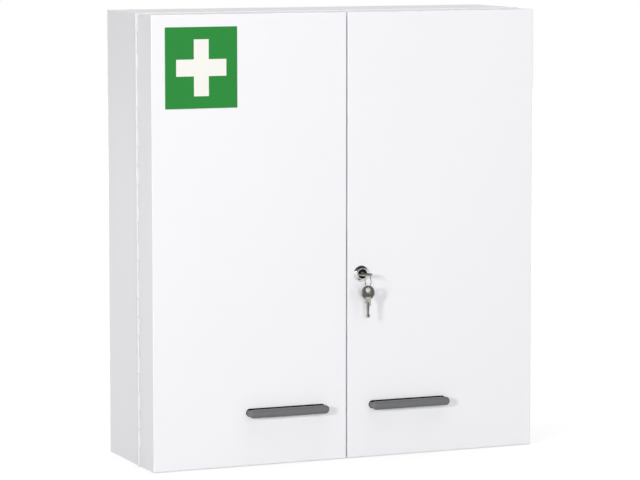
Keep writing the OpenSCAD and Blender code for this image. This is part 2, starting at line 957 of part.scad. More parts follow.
// Plug with a wide mouth for the key's shoulder and a narrow way for its blade
module lock_plug() {
    mouth_half_w = key_shoulder_w / 2 + key_fit;
    blade_low = -key_blade_w / 2 - key_fit;
    blade_high = key_bit_w - key_blade_w / 2 + key_fit;
    key_half_t = key_t / 2 + key_fit;
    mouth_end = bow_near + key_shoulder_l + key_fit;
    blade_end = bow_near + key_shoulder_l + key_blade_l + key_fit;
    color("dimgray") translate([lock_x, 0, lock_z]) difference() {
        y_rod(plug_r, plug_face, plug_end, 0, 0);
        block([-mouth_half_w, plug_face - past, -key_half_t], [mouth_half_w, mouth_end, key_half_t]);
        block([blade_low, plug_face - past, -key_half_t], [blade_high, blade_end, key_half_t]);
    }
}

// Disc on the plug's end, whose crank pin drives the dead bolt
module lock_follower() {
    color("silver") translate([lock_x, 0, lock_z]) {
        y_rod(follower_r, plug_end, follower_end, 0, 0);
        y_rod(crank_pin_r, follower_end - past, bolt_back,
              crank_r * cos(crank_angle), crank_r * sin(crank_angle));
    }
}

// Flat dead bolt, drawn back, with an upright slot for the crank pin
module dead_bolt() {
    pin_x = lock_x + crank_r * cos(crank_angle);
    slot_half_w = crank_pin_r + crank_slot_clear;
    slot_low = crank_r * sin(crank_angle) - slot_half_w;
    slot_high = crank_r + slot_half_w;
    color("silver") difference() {
        block([bolt_tip, bolt_front, lock_z - bolt_h / 2], [bolt_tail, bolt_back, lock_z + bolt_h / 2]);
        block([pin_x - slot_half_w, bolt_front - past, lock_z + slot_low],
              [pin_x + slot_half_w, bolt_back + past, lock_z + slot_high]);
    }
}

// Key lying flat, with its bow centred on the origin and its blade along +Y
module key_blank() {
    shoulder_end = bow_r + key_shoulder_l;
    blade_end = shoulder_end + key_blade_l;
    cut_step = (key_blade_l - key_bit_l) / key_cuts;
    translate([0, 0, -key_t / 2]) difference() {
        union() {
            cylinder(r = bow_r, h = key_t);
            block([-key_shoulder_w / 2, bow_r - key_shoulder_in, 0],
                  [key_shoulder_w / 2, shoulder_end, key_t]);
            block([-key_blade_w / 2, shoulder_end - past, 0], [key_blade_w / 2, blade_end, key_t]);
            block([-key_blade_w / 2, blade_end - key_bit_l, 0],
                  [key_bit_w - key_blade_w / 2, blade_end, key_t]);
        }
        translate([0, -hole_offset, -past]) cylinder(r = bow_hole_r, h = key_t + 2 * past);
        for (i = [0 : key_cuts - 1]) {
            translate([key_blade_w / 2, shoulder_end + (i + 0.5) * cut_step, -past])
                rotate([0, 0, 45]) translate([-key_cut_d / 2, -key_cut_d / 2, 0])
                cube([key_cut_d, key_cut_d, key_t + 2 * past]);
        }
    }
}

// Key in the lock, flat and level
module lock_key() {
    color("dimgray") translate([lock_x, bow_y, lock_z]) key_blank();
}

// Ring round the bridge of the lock key's bow
module key_ring() {
    color("silver") translate([lock_x, ring_y, lock_z + ring_z]) rotate([0, 90, 0])
        rotate_extrude() translate([ring_mid_r, 0]) circle(r = wire_r);
}

// Spare key hanging upright from the bottom of the ring
module spare_key() {
    color("dimgray") translate([lock_x, ring_y, lock_z + spare_hole_z - hole_offset])
        rotate([-90, 0, 0]) key_blank();
}

left_side_panel();
right_side_panel();
top_panel();
bottom_panel();
back_panel();
left_shelf_uprights();
right_shelf_uprights();
lower_shelf();
upper_shelf();
lower_shelf_clips();
upper_shelf_clips();
left_hinge_frame_leaf();
right_hinge_frame_leaf();
left_hinge_pin();
right_hinge_pin();
left_magnet_catch();
right_magnet_catch();
catch_screws();
door_buffers();
left_door_panel();
left_hinge_door_leaf();
left_handle();
left_handle_screws();
first_aid_sign();
sign_cross();
left_lower_tray();
left_middle_tray();
left_upper_tray();
left_lower_rail();
left_middle_rail();
left_upper_rail();
left_strike_plate();
upper_bolt_guide();
lower_bolt_guide();
guide_screws();
upper_slide_bolt();
lower_slide_bolt();
right_door_panel();
right_hinge_door_leaf();
right_handle();
right_handle_screws();
right_lower_tray();
right_middle_tray();
right_upper_tray();
right_lower_rail();
right_middle_rail();
right_upper_rail();
right_strike_plate();
lock_case();
lock_case_cover();
lock_case_rivets();
lock_barrel();
lock_nut();
lock_plug();
lock_follower();
dead_bolt();
lock_key();
key_ring();
spare_key();
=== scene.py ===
import json
import math

import bmesh
import bpy
from bpy.props import FloatProperty, FloatVectorProperty, PointerProperty
from bpy.types import Operator, Panel, PropertyGroup
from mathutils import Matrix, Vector


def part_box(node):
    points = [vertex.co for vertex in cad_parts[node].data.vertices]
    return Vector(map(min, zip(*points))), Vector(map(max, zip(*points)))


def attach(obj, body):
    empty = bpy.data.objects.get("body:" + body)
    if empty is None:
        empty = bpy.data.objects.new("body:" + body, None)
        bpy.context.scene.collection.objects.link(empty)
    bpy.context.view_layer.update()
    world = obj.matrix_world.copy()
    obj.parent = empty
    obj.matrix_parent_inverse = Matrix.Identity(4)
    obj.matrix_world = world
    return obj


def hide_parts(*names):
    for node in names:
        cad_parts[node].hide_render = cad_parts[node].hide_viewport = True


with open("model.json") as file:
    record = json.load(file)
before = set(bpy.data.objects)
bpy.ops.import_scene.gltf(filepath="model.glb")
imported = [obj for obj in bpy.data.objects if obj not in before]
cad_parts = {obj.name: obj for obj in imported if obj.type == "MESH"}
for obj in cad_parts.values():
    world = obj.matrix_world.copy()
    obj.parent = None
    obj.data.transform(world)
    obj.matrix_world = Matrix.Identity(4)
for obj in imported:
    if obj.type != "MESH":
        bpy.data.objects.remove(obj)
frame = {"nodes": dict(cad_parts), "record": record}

bl_info = {
    "name": "Steel Medicine Cabinet",
    "version": (1, 0, 0),
    "blender": (4, 5, 0),
    "location": "3D View > Sidebar > Cabinet",
    "description": "Models the pieces and finishes of a lockable steel medicine cabinet",
    "category": "Object",
}

# The pieces are modelled in millimetres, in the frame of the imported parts: the front is -Y,
# the right is +X and up is +Z.
MM = 0.001
BODY_OF = {node: body for body, nodes in frame["record"]["behaviour"]["bodies"].items() for node in nodes}
SLOT_OF = {part["node"]: part["material_slot"] for part in frame["record"]["subparts"]}
HANDS = ("left", "right")
TURNED = {"Y": (math.pi / 2, 0, 0), "Z": (0, 0, 0)}
NEAR = 0.01         # two places nearer than this count as the same
OVERSHOOT = 1       # how far a cutting tool runs past the face that it opens


def box_of(node):
    """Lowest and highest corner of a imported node, in millimetres."""
    low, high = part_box(node)
    return low / MM, high / MM


def metres(point):
    return [c * MM for c in point]


# ---------------------------------------------------------------- sizes and colours


def length(label, about, default, high=100):
    """Property for a length, given in millimetres."""
    return FloatProperty(name=label, description=about, default=default * MM, min=0, max=high * MM,
                         unit="LENGTH", subtype="DISTANCE", precision=5)


def bearing(label, about, degrees):
    """Property for an angle, given in degrees."""
    return FloatProperty(name=label, description=about, default=math.radians(degrees), subtype="ANGLE",
                         unit="ROTATION")


def number(label, about, default, high, unit="NONE"):
    return FloatProperty(name=label, description=about, default=default, min=0, max=high, unit=unit)


def colour(label, about, default):
    return FloatVectorProperty(name=label, description=about, default=default, size=3, min=0, max=1,
                               subtype="COLOR")


class SheetSizes(PropertyGroup):
    sheet: length("Sheet", "Thickness of the steel sheet",
                  box_of("back_panel")[1].y - box_of("back_panel")[0].y)
    bend: length("Bend", "Outer radius of a folded edge", 1.1)
    cut_edge: length("Cut edge", "Rounding of a sheared and coated edge", 0.2)
    front_return: length("Front return", "Width of the flange round the front of the body", 18)
    rear_return: length("Rear return", "Width of the flange that carries the back", 12)
    door_return: length("Door return", "Width of the flange round the back of a door", 15)
    mitre: length("Mitre", "Width of the slit in the corner of a door's flange", 0.4)
    wall_hole: length("Wall hole", "Radius of a hole for a wall screw", 4)
    wall_hole_inset: length("Wall hole inset", "Distance of a wall hole from the edges of the back", 50)


class GripSizes(PropertyGroup):
    bar: length("Bar", "Depth of the bar in front of the finger gap", 6.5)
    crown: length("Crown", "Rise of the middle of the bar's front", 1.5)
    edge: length("Edge", "Rounding of the bar's edges", 1.2)
    foot: length("Foot", "Thickness of the foot plate", 1.5)
    leg_height: length("Leg height", "Height of a leg of the handle", 7)
    leg_length: length("Leg length", "Length of a leg along the handle", 15)


class LockSizes(PropertyGroup):
    barrel: length("Barrel", "Radius of the lock barrel", 9)
    collar: length("Collar", "Outer radius of the collar round the plug", 7.3)
    boss: length("Boss", "Radius of the raised middle of the plug", 2.7)
    recess: length("Recess", "Depth of the dark ring round the boss", 1.4)


class KeySizes(PropertyGroup):
    bow: length("Bow", "Radius of the bow", 9.5)
    hole: length("Hole", "Radius of the hole in the bow", 3.45)
    hole_offset: length("Hole offset", "Distance of the hole from the middle of the bow", 3.7)
    shoulder: length("Shoulder", "Width of the shoulder", 8)
    blade: length("Blade", "Width of the blade", 4.7)
    thickness: length("Thickness", "Thickness of the bow", 2)
    ring_wire: length("Ring wire", "Radius of the wire of the split ring", 0.32)


class Colours(PropertyGroup):
    enamel: colour("Enamel", "White powder coat of the sheet steel", (0.872, 0.869, 0.896))
    # The hinge colour is the white coat made darker, as painted shade, so that knuckles facing the lamps do
    # not burn out
    hinge: colour("Hinge", "Thin coat over the rolled knuckles of the hinges", (0.74, 0.738, 0.762))
    zinc: colour("Zinc", "Zinc plating of the small steel parts", (0.44, 0.45, 0.46))
    casting: colour("Casting", "Cast zinc of the lock case", (0.52, 0.53, 0.54))
    housing: colour("Housing", "Grey plastic of the catches and bolt guides", (0.42, 0.42, 0.43))
    grip: colour("Grip", "Dark plastic of the handles", (0.135, 0.138, 0.14))
    rubber: colour("Rubber", "Black rubber and black plastic", (0.009, 0.009, 0.010))
    sign_green: colour("Sign green", "Green of the sign's film", (0.025, 0.24, 0.042))
    sign_white: colour("Sign white", "White of the cross", (0.88, 0.87, 0.82))
    chrome: colour("Chrome", "Chrome plate of the lock", (0.62, 0.62, 0.63))
    nickel: colour("Nickel", "Tarnished nickel plate of the keys' bows", (0.105, 0.105, 0.09))
    worn_nickel: colour("Worn nickel", "Nickel that is rubbed bright on blades and rims", (0.3, 0.3, 0.265))


class StudioSizes(PropertyGroup):
    azimuth: bearing("Azimuth", "Direction of the camera round the cabinet", -22.746)
    elevation: bearing("Elevation", "Height of the camera above the horizon", 6.402)
    distance: length("Distance", "Distance of the camera from its target", 4104.5, 100000)
    target: FloatVectorProperty(name="Target", description="Point that the camera looks at", unit="LENGTH",
                                default=(-0.00222, -0.087, -0.01312), subtype="XYZ", precision=5)
    lens: number("Lens", "Focal length, in millimetres on a 36 mm sensor", 169.82, 400)
    key_power: number("Key light", "Power of the lamp on the left", 130, 1000, "POWER")
    fill_power: number("Fill light", "Power of the lamp on the right", 22, 1000, "POWER")
    front_power: number("Front light", "Power of the large soft lamp in front", 232, 1000, "POWER")
    ambient: number("Ambient", "Strength of the even light from all round", 0.08, 2)
    rear: number("Rear", "Strength of the light that is added behind the cabinet", 0.7, 2)
    ceiling: number("Ceiling", "Strength of the light that is added overhead", 1.35, 2)
    floor: colour("Floor", "Colour of the pale floor", (0.34, 0.34, 0.34))


# ---------------------------------------------------------------- modelling by hand, in code


def rest():
    """Leaves edit mode and deselects everything."""
    if bpy.context.object and bpy.context.object.mode != "OBJECT":
        bpy.ops.object.mode_set(mode="OBJECT")
    bpy.ops.object.select_all(action="DESELECT")


def take(*pieces):
    """Selects only these pieces, with the last one active."""
    rest()
    for piece in pieces:
        piece.select_set(True)
    bpy.context.view_layer.objects.active = pieces[-1]


def settle(name):
    """Names the new piece and puts its place into its mesh."""
    piece = bpy.context.object
    piece.name = piece.data.name = name
    bpy.ops.object.transform_apply(location=True, rotation=True, scale=True)
    return piece


def block(name, one, other):
    """Box between two opposite corners."""
    rest()
    middle = [(a + b) / 2 for a, b in zip(one, other)]
    bpy.ops.mesh.primitive_cube_add(size=MM, location=metres(middle))
    bpy.context.object.scale = [abs(b - a) for a, b in zip(one, other)]
    return settle(name)


def rod(name, axis, radius, start, end, centre, sides=32):
    """Closed cylinder along an axis, between two planes across it."""
    rest()
    place = list(centre)
    place["XYZ".index(axis)] = (start + end) / 2
    bpy.ops.mesh.primitive_cylinder_add(vertices=sides, radius=radius * MM, depth=abs(end - start) * MM,
                                        location=metres(place), rotation=TURNED[axis])
    return settle(name)


def everything(part):
    return True


def middle_of(part):
    """Middle of a vertex, edge or face, in millimetres."""
    if isinstance(part, bmesh.types.BMVert):
        return part.co / MM
    corners = [v.co for v in part.verts]
    return sum(corners, Vector()) / len(corners) / MM


def edit(piece, kind, test=everything):
    """Opens a piece in edit mode with only the parts of one kind selected that pass a test."""
    take(piece)
    bpy.ops.object.mode_set(mode="EDIT")
    bpy.ops.mesh.select_mode(type=kind)
    bpy.ops.mesh.select_all(action="DESELECT")
    mesh = bmesh.from_edit_mesh(piece.data)
    parts = {"VERT": mesh.verts, "EDGE": mesh.edges, "FACE": mesh.faces}[kind]
    found = [part for part in parts if test(part)]
    if not found:
        raise RuntimeError(f"{piece.name}: no {kind.lower()} to select")
    for part in found:
        part.select_set(True)
    mesh.select_flush_mode()
    bmesh.update_edit_mesh(piece.data)


def facing(x=0, y=0, z=0):
    """Test for faces that look a given way."""
    way = Vector((x, y, z)).normalized()
    return lambda face: face.normal.dot(way) > 0.99


def sharp(edge):
    """Test for edges between two faces at a marked angle."""
    return len(edge.link_faces) == 2 and edge.calc_face_angle() > math.radians(50)


def sharp_at_y(y):
    """Test for marked edges that lie in a plane across Y."""
    return lambda edge: sharp(edge) and abs(middle_of(edge).y - y) < NEAR


def sharp_along_y(least):
    """Test for marked edges that run along Y for more than a length."""
    return lambda edge: sharp(edge) and abs(edge.verts[0].co.y - edge.verts[1].co.y) > least * MM


def front_disc(face):
    """Test for the many-sided flat face at the front of a round piece."""
    return face.normal.y < -0.99 and len(face.verts) > 8


def outward(piece, merge=0.0):
    """Merges vertices nearer than a distance, then turns every face of a closed piece outwards."""
    edit(piece, "FACE")
    if merge:
        bpy.ops.mesh.remove_doubles(threshold=merge * MM)
    bpy.ops.mesh.normals_make_consistent(inside=False)
    rest()


def round_off(piece, test, radius, segments=3):
    """Bevels the edges that pass a test."""
    edit(piece, "EDGE", test)
    bpy.ops.mesh.bevel(offset=radius * MM, offset_type="OFFSET", segments=segments, affect="EDGES",
                       clamp_overlap=True)
    rest()
    return piece


def modified(piece, kind, **settings):
    """Gives a piece a modifier and applies it."""
    take(piece)
    modifier = piece.modifiers.new(kind.lower(), kind)
    for key, value in settings.items():
        setattr(modifier, key, value)
    bpy.ops.object.modifier_apply(modifier=modifier.name)
    return piece


def soften(piece, width, segments=2, angle=50):
    """Rounds every marked edge of a piece."""
    return modified(piece, "BEVEL", width=width * MM, segments=segments, limit_method="ANGLE",
                    angle_limit=math.radians(angle), harden_normals=False)


def thicken(piece, sheet):
    """Gives a surface the thickness of its sheet, on its inner side."""
    return modified(piece, "SOLIDIFY", thickness=sheet * MM, offset=-1, use_even_offset=True)


def cut(piece, *tools):
    """Cuts the tools out of a piece and removes them."""
    for tool in tools:
        modified(piece, "BOOLEAN", object=tool, operation="DIFFERENCE", solver="EXACT")
        bpy.data.objects.remove(tool)
    return piece


def copied(piece, name, move=(0, 0, 0), turn=(0, 0, 0)):
    """Copy with its own mesh, turned and then moved."""
    take(piece)
    bpy.ops.object.duplicate(linked=False)
    bpy.context.object.location = metres(move)
    bpy.context.object.rotation_euler = turn
    return settle(name)


def mirrored(piece, name, axis=0):
    """Copy with its own mesh, on the other side of the middle."""
    take(piece)
    bpy.ops.object.duplicate(linked=False)
    bpy.context.object.scale[axis] = -1
    twin = settle(name)
    outward(twin)
    return twin


def joined(name, *pieces):
    take(*pieces)
    bpy.ops.object.join()
    return settle(name)


def trace(name, points):
    """Line through the points, drawn by extruding one vertex."""
    rest()
    bpy.ops.mesh.primitive_plane_add(size=MM, location=metres(points[0]))
    piece = settle(name)
    edit(piece, "VERT")
    bpy.ops.mesh.merge(type="CENTER")
    for a, b in zip(points, points[1:]):
        step = metres([q - p for p, q in zip(a, b)])
        bpy.ops.mesh.extrude_region_move(TRANSFORM_OT_translate={"value": step})
    rest()
    return piece


def plate(name, outline, depth):
    """Flat part with a closed outline, drawn out by a step."""
    piece = trace(name, outline)
    edit(piece, "VERT")
    bpy.ops.mesh.edge_face_add()
    bpy.ops.mesh.extrude_region_move(TRANSFORM_OT_translate={"value": metres(depth)})
    outward(piece)
    return piece


def folded(name, path, axis, start, end, sheet, bend=None):
    """Sheet folded along a path of corners on its outer face, across an axis."""
    place = "XYZ".index(axis)
    piece = trace(name, [list(p[:place]) + [start] + list(p[place:]) for p in path])
    edit(piece, "VERT")
    step = [0, 0, 0]
    step[place] = end - start
    bpy.ops.mesh.extrude_region_move(TRANSFORM_OT_translate={"value": metres(step)})
    rest()
    if bend:
        round_off(piece, sharp, bend, 5)
    inside = sum((v.co for v in piece.data.vertices), Vector()) / len(piece.data.vertices)
    widest = max(piece.data.polygons, key=lambda p: p.area)
    if widest.normal.dot(widest.center - inside) < 0:
        edit(piece, "FACE")
        bpy.ops.mesh.flip_normals()
        rest()
    return thicken(piece, sheet)


def turned(name, profile, centre, steps=64):
    """Turned part on a line along Y. The profile holds pairs of radius and Y."""
    piece = trace(name, [(centre[0] + r, y, centre[2]) for r, y in profile])
    edit(piece, "VERT")
    bpy.ops.mesh.spin(steps=steps, angle=2 * math.pi, center=metres((centre[0], 0, centre[2])),
                      axis=(0, 1, 0))
    outward(piece, 0.002)
    return piece


def done(piece, *nodes, slot=None, angle=40):
    """Shades a piece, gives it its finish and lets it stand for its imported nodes."""
    slot = slot or SLOT_OF[nodes[0]]
    take(piece)
    bpy.ops.object.shade_smooth_by_angle(angle=math.radians(angle))
    modified(piece, "WEIGHTED_NORMAL", keep_sharp=True)
    if not piece.data.materials:
        piece.data.materials.append(finish(slot))
    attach(piece, BODY_OF[nodes[0]])
    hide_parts(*nodes)
    return piece


def paint(piece, slots, test):
    """Gives a piece two finishes, the second one on the faces that pass a test."""
    for slot in slots:
        piece.data.materials.append(finish(slot))
    edit(piece, "FACE", test)
    piece.active_material_index = 1
    bpy.ops.object.material_slot_assign()
    rest()


# ---------------------------------------------------------------- finishes


def finish(slot):
    return bpy.data.materials["cabinet_" + slot]


def put(tree, kind, sockets=None, **settings):
    """Adds a node. Each socket takes a value or another node's output."""
    node = tree.nodes.new("ShaderNode" + kind)
    for key, value in settings.items():
        setattr(node, key, value)
    for key, value in (sockets or {}).items():
        if isinstance(value, bpy.types.NodeSocket):
            tree.links.new(value, node.inputs[key])
        else:
            node.inputs[key].default_value = value
    return node


def maths(tree, operation, *values):
    return put(tree, "Math", dict(enumerate(values)), operation=operation).outputs[0]


def mapped(tree, *values):
    """Carries a value over to another range: the value, its two limits and the two new limits."""
    return put(tree, "MapRange", dict(enumerate(values))).outputs[0]


def noise(tree, where, scale, detail):
    return put(tree, "TexNoise", {"Vector": where, "Scale": scale, "Detail": detail}).outputs["Fac"]


def effect(name, inputs, outputs):
    """Empty node group with its sockets, and its input and output nodes."""
    tree = bpy.data.node_groups.new(name, "ShaderNodeTree")
    for label, kind, value in inputs:
        socket = tree.interface.new_socket(label, in_out="INPUT", socket_type="NodeSocket" + kind)
        socket.default_value = value
    for label, kind in outputs:
        tree.interface.new_socket(label, in_out="OUTPUT", socket_type="NodeSocket" + kind)
    return tree, tree.nodes.new("NodeGroupInput").outputs, tree.nodes.new("NodeGroupOutput").inputs


def drift_effect():
    """Slow change of shade over a surface."""
    inputs = [("Colour", "Color", (1, 1, 1, 1)), ("Amount", "Float", 0.02), ("Scale", "Float", 12)]
    tree, given, made = effect("Shade drift", inputs, [("Colour", "Color"), ("Mask", "Float")])
    where = put(tree, "TexCoord").outputs["Object"]
    mask = noise(tree, where, given["Scale"], 3)
    swing = maths(tree, "MULTIPLY_ADD", maths(tree, "SUBTRACT", mask, 0.5), given["Amount"], 1)
    shade = put(tree, "VectorMath", {0: given["Colour"], "Scale": swing}, operation="SCALE").outputs[0]
    tree.links.new(shade, made["Colour"])
    tree.links.new(mask, made["Mask"])
    return tree


def relief_effect():
    """Fine pebbled height, as of powder coat, moulded plastic or a casting."""
    inputs = [("Scale", "Float", 400), ("Fine", "Float", 0.3)]
    tree, given, made = effect("Coat relief", inputs, [("Height", "Float")])
    where = put(tree, "TexCoord").outputs["Object"]
    wide = noise(tree, where, given["Scale"], 1)
    small = noise(tree, where, maths(tree, "MULTIPLY", given["Scale"], 3.7), 0)
    tree.links.new(maths(tree, "MULTIPLY_ADD", small, given["Fine"], wide), made["Height"])
    return tree


def drawn_effect():
    """Fine parallel lines of a drawn, brushed or rubbed metal surface."""
    tree, given, made = effect("Drawn lines", [("Stretch", "Vector", (40, 1500, 1500))],
                               [("Mask", "Float"), ("Height", "Float")])
    where = put(tree, "TexCoord").outputs["Object"]
    along = put(tree, "VectorMath", {0: where, 1: given["Stretch"]}, operation="MULTIPLY").outputs[0]
    lines = noise(tree, along, 1, 4)
    tree.links.new(mapped(tree, lines, 0.35, 0.65, 0, 1), made["Mask"])
    tree.links.new(lines, made["Height"])
    return tree


def edge_wear_and_shade_effect():
    """Lighter metal on edges, partly rubbed wear and partly painted highlight, and darker metal in corners as
    painted shade.
    """
    white, black = (1, 1, 1, 1), (0, 0, 0, 1)
    inputs = [("Colour", "Color", white), ("Edge", "Color", white), ("Corner", "Color", black)]
    tree, given, made = effect("Edge wear and painted shade", inputs, [("Colour", "Color")])
    bent = put(tree, "NewGeometry").outputs["Pointiness"]
    # Convex edges get lighter, as rubbed wear and painted highlight; hollows get darker, as painted shade
    edge_wear_and_highlight = mapped(tree, bent, 0.52, 0.62, 0, 0.8)
    painted_corner_shade = mapped(tree, bent, 0.48, 0.40, 0, 0.8)
    light = put(tree, "MixRGB", {0: edge_wear_and_highlight, 1: given["Colour"], 2: given["Edge"]}).outputs[0]
    both = put(tree, "MixRGB", {0: painted_corner_shade, 1: light, 2: given["Corner"]}).outputs[0]
    tree.links.new(both, made["Colour"])
    return tree


def new_finish(slot, roughness, metallic=0.0, specular=0.5):
    """Material with its Principled shader set up."""
    material = bpy.data.materials.new("cabinet_" + slot)
    material.use_nodes = True
    shader = material.node_tree.nodes["Principled BSDF"]
    shader.inputs["Roughness"].default_value = roughness
    shader.inputs["Metallic"].default_value = metallic
    shader.inputs["Specular IOR Level"].default_value = specular
    return material.node_tree, shader


def tinted(tree, shader, group, tint, amount, scale):
    """Base colour that drifts slowly."""
    node = put(tree, "Group", {"Colour": (*tint, 1), "Amount": amount, "Scale": scale}, node_tree=group)
    tree.links.new(node.outputs["Colour"], shader.inputs["Base Color"])
    return node


def raised(tree, shader, height, strength, depth):
    """Surface relief from a height."""
    bump = put(tree, "Bump", {"Height": height, "Strength": strength, "Distance": depth * MM})
    tree.links.new(bump.outputs["Normal"], shader.inputs["Normal"])


def varied(tree, shader, mask, low, high):
    """Roughness between two values, after a mask."""
    tree.links.new(mapped(tree, mask, 0, 1, low, high), shader.inputs["Roughness"])


class CABINET_OT_finishes(Operator):
    """Makes the finish of every material of the cabinet"""
    bl_idname = "cabinet.finishes"
    bl_label = "Finishes"

    def execute(self, context):
        tints = context.scene.cabinet_colours
        # The edge effect gives edges rubbed wear and a painted highlight, and gives corners painted shade
        drift, relief, drawn, rubbed = drift_effect(), relief_effect(), drawn_effect(), edge_wear_and_shade_effect()

        # Coated, moulded and printed surfaces: tint, amount and scale of its drift, scale and strength of
        # the relief, lowest and highest roughness, specular level
        for slot, tint, amount, scale, grain, strength, low, high, specular in (
                ("white_enamel", tints.enamel, 0.012, 9, 420, 0.06, 0.30, 0.38, 0.5),
                ("shaded_hinge_coat", tints.hinge, 0.02, 30, 420, 0.06, 0.36, 0.44, 0.25),
                ("grey_plastic", tints.housing, 0.05, 60, 1800, 0.15, 0.42, 0.52, 0.5),
                ("dark_plastic", tints.grip, 0.12, 70, 1500, 0.22, 0.40, 0.52, 0.5),
                ("black_rubber", tints.rubber, 0.25, 120, 2200, 0.25, 0.62, 0.75, 0.12),
                ("sign_green", tints.sign_green, 0.05, 22, 700, 0.04, 0.34, 0.44, 0.15),
                ("sign_white", tints.sign_white, 0.02, 22, 700, 0.04, 0.34, 0.44, 0.15)):
            tree, shader = new_finish(slot, high, specular=specular)
            shade = tinted(tree, shader, drift, tint, amount, scale)
            height = put(tree, "Group", {"Scale": grain, "Fine": 0.3}, node_tree=relief).outputs["Height"]
            raised(tree, shader, height, strength, 0.05)
            varied(tree, shader, shade.outputs["Mask"], low, high)

        # Plated metal: tint, stretch of the lines, strength of their relief, lowest and highest roughness,
        # brightness of the edges, from rubbed wear and a painted highlight; corners get painted shade
        for slot, tint, stretch, strength, low, high, edge_wear_and_highlight in (
                ("zinc_steel", tints.zinc, (60, 1400, 1400), 0.06, 0.26, 0.42, 1.3),
                ("lock_chrome", tints.chrome, (500, 500, 3000), 0.01, 0.05, 0.10, 1.2),
                ("dark_nickel", tints.nickel, (1500, 160, 160), 0.08, 0.24, 0.40, 5),
                ("worn_nickel", tints.worn_nickel, (1500, 160, 160), 0.08, 0.18, 0.34, 2)):
            tree, shader = new_finish(slot, high, metallic=1)
            lines = put(tree, "Group", {"Stretch": stretch}, node_tree=drawn)
            shade = tinted(tree, shader, drift, tint, 0.14, 120)
            # Edge colour: rubbed wear and painted highlight; corner colour: painted shade
            bright = (*[min(1, edge_wear_and_highlight * c) for c in tint], 1)
            painted_corner_shade_tint = (*[0.45 * c for c in tint], 1)
            edges = put(tree, "Group", {"Colour": shade.outputs["Colour"], "Edge": bright, "Corner": painted_corner_shade_tint},
                        node_tree=rubbed)
            tree.links.new(edges.outputs["Colour"], shader.inputs["Base Color"])
            raised(tree, shader, lines.outputs["Height"], strength, 0.05)
            varied(tree, shader, lines.outputs["Mask"], low, high)

        tree, shader = new_finish("cast_zinc", 0.5, metallic=1)
        shade = tinted(tree, shader, drift, tints.casting, 0.2, 160)
        height = put(tree, "Group", {"Scale": 1100, "Fine": 0.5}, node_tree=relief).outputs["Height"]
        raised(tree, shader, height, 0.3, 0.08)
        varied(tree, shader, shade.outputs["Mask"], 0.4, 0.6)
        return {"FINISHED"}


# ---------------------------------------------------------------- sheet steel


def opened(piece, normal, margin):
    """Opens one face of a box and leaves a flange round the opening."""
    edit(piece, "FACE", facing(*normal))
    bpy.ops.mesh.inset(thickness=margin * MM, use_even_offset=True)
    bpy.ops.mesh.delete(type="FACE")
    rest()


def halved(piece, point, normal):
    """Keeps the part of a surface on the side of a plane that its normal points to."""
    edit(piece, "FACE")
    bpy.ops.mesh.bisect(plane_co=metres(point), plane_no=normal, clear_inner=True, threshold=0.0001 * MM)
    rest()


class CABINET_OT_body(Operator):
    """Folds the body and cuts it into its side, top and bottom panels along the corners"""
    bl_idname = "cabinet.body"
    bl_label = "Body panels"

    def execute(self, context):
        s = context.scene.cabinet_sheet
        high = box_of("right_side_panel")[1]
        shell = block("shell", box_of("left_side_panel")[0], high)
        opened(shell, (0, -1, 0), s.front_return / MM)
        opened(shell, (0, 1, 0), s.rear_return / MM)
        round_off(shell, sharp, s.bend / MM, 5)
        # Each panel, and the way that it faces along X and along Z
        for name, out_x, out_z in (("right_side_panel", 1, 0), ("left_side_panel", -1, 0),
                                   ("top_panel", 0, 1), ("bottom_panel", 0, -1)):
            panel = copied(shell, name + "_folded")
            for side in (out_x + out_z, -out_x - out_z):
                # A plane through one corner edge of the shell, at 45 degrees
                corner = (high.x * (out_x or side), 0, high.z * (out_z or side))
                halved(panel, corner, (out_x or -side, 0, out_z or -side))
            thicken(panel, s.sheet / MM)
            soften(panel, s.cut_edge / MM)
            done(panel, name)
        bpy.data.objects.remove(shell)
        return {"FINISHED"}


class CABINET_OT_back(Operator):
    """Cuts the back panel and drills its four wall holes"""
    bl_idname = "cabinet.back"
    bl_label = "Back panel"

    def execute(self, context):
        s = context.scene.cabinet_sheet
        low, high = box_of("back_panel")
        back = block("back_panel_drilled", low, high)
        inset = s.wall_hole_inset / MM
        for x in (low.x + inset, high.x - inset):
            for z in (low.z + inset, high.z - inset):
                cut(back, rod("drill", "Y", s.wall_hole / MM, low.y - OVERSHOOT, high.y + OVERSHOOT,
                              (x, 0, z), 48))
        soften(back, s.cut_edge / MM)
        done(back, "back_panel")
        return {"FINISHED"}


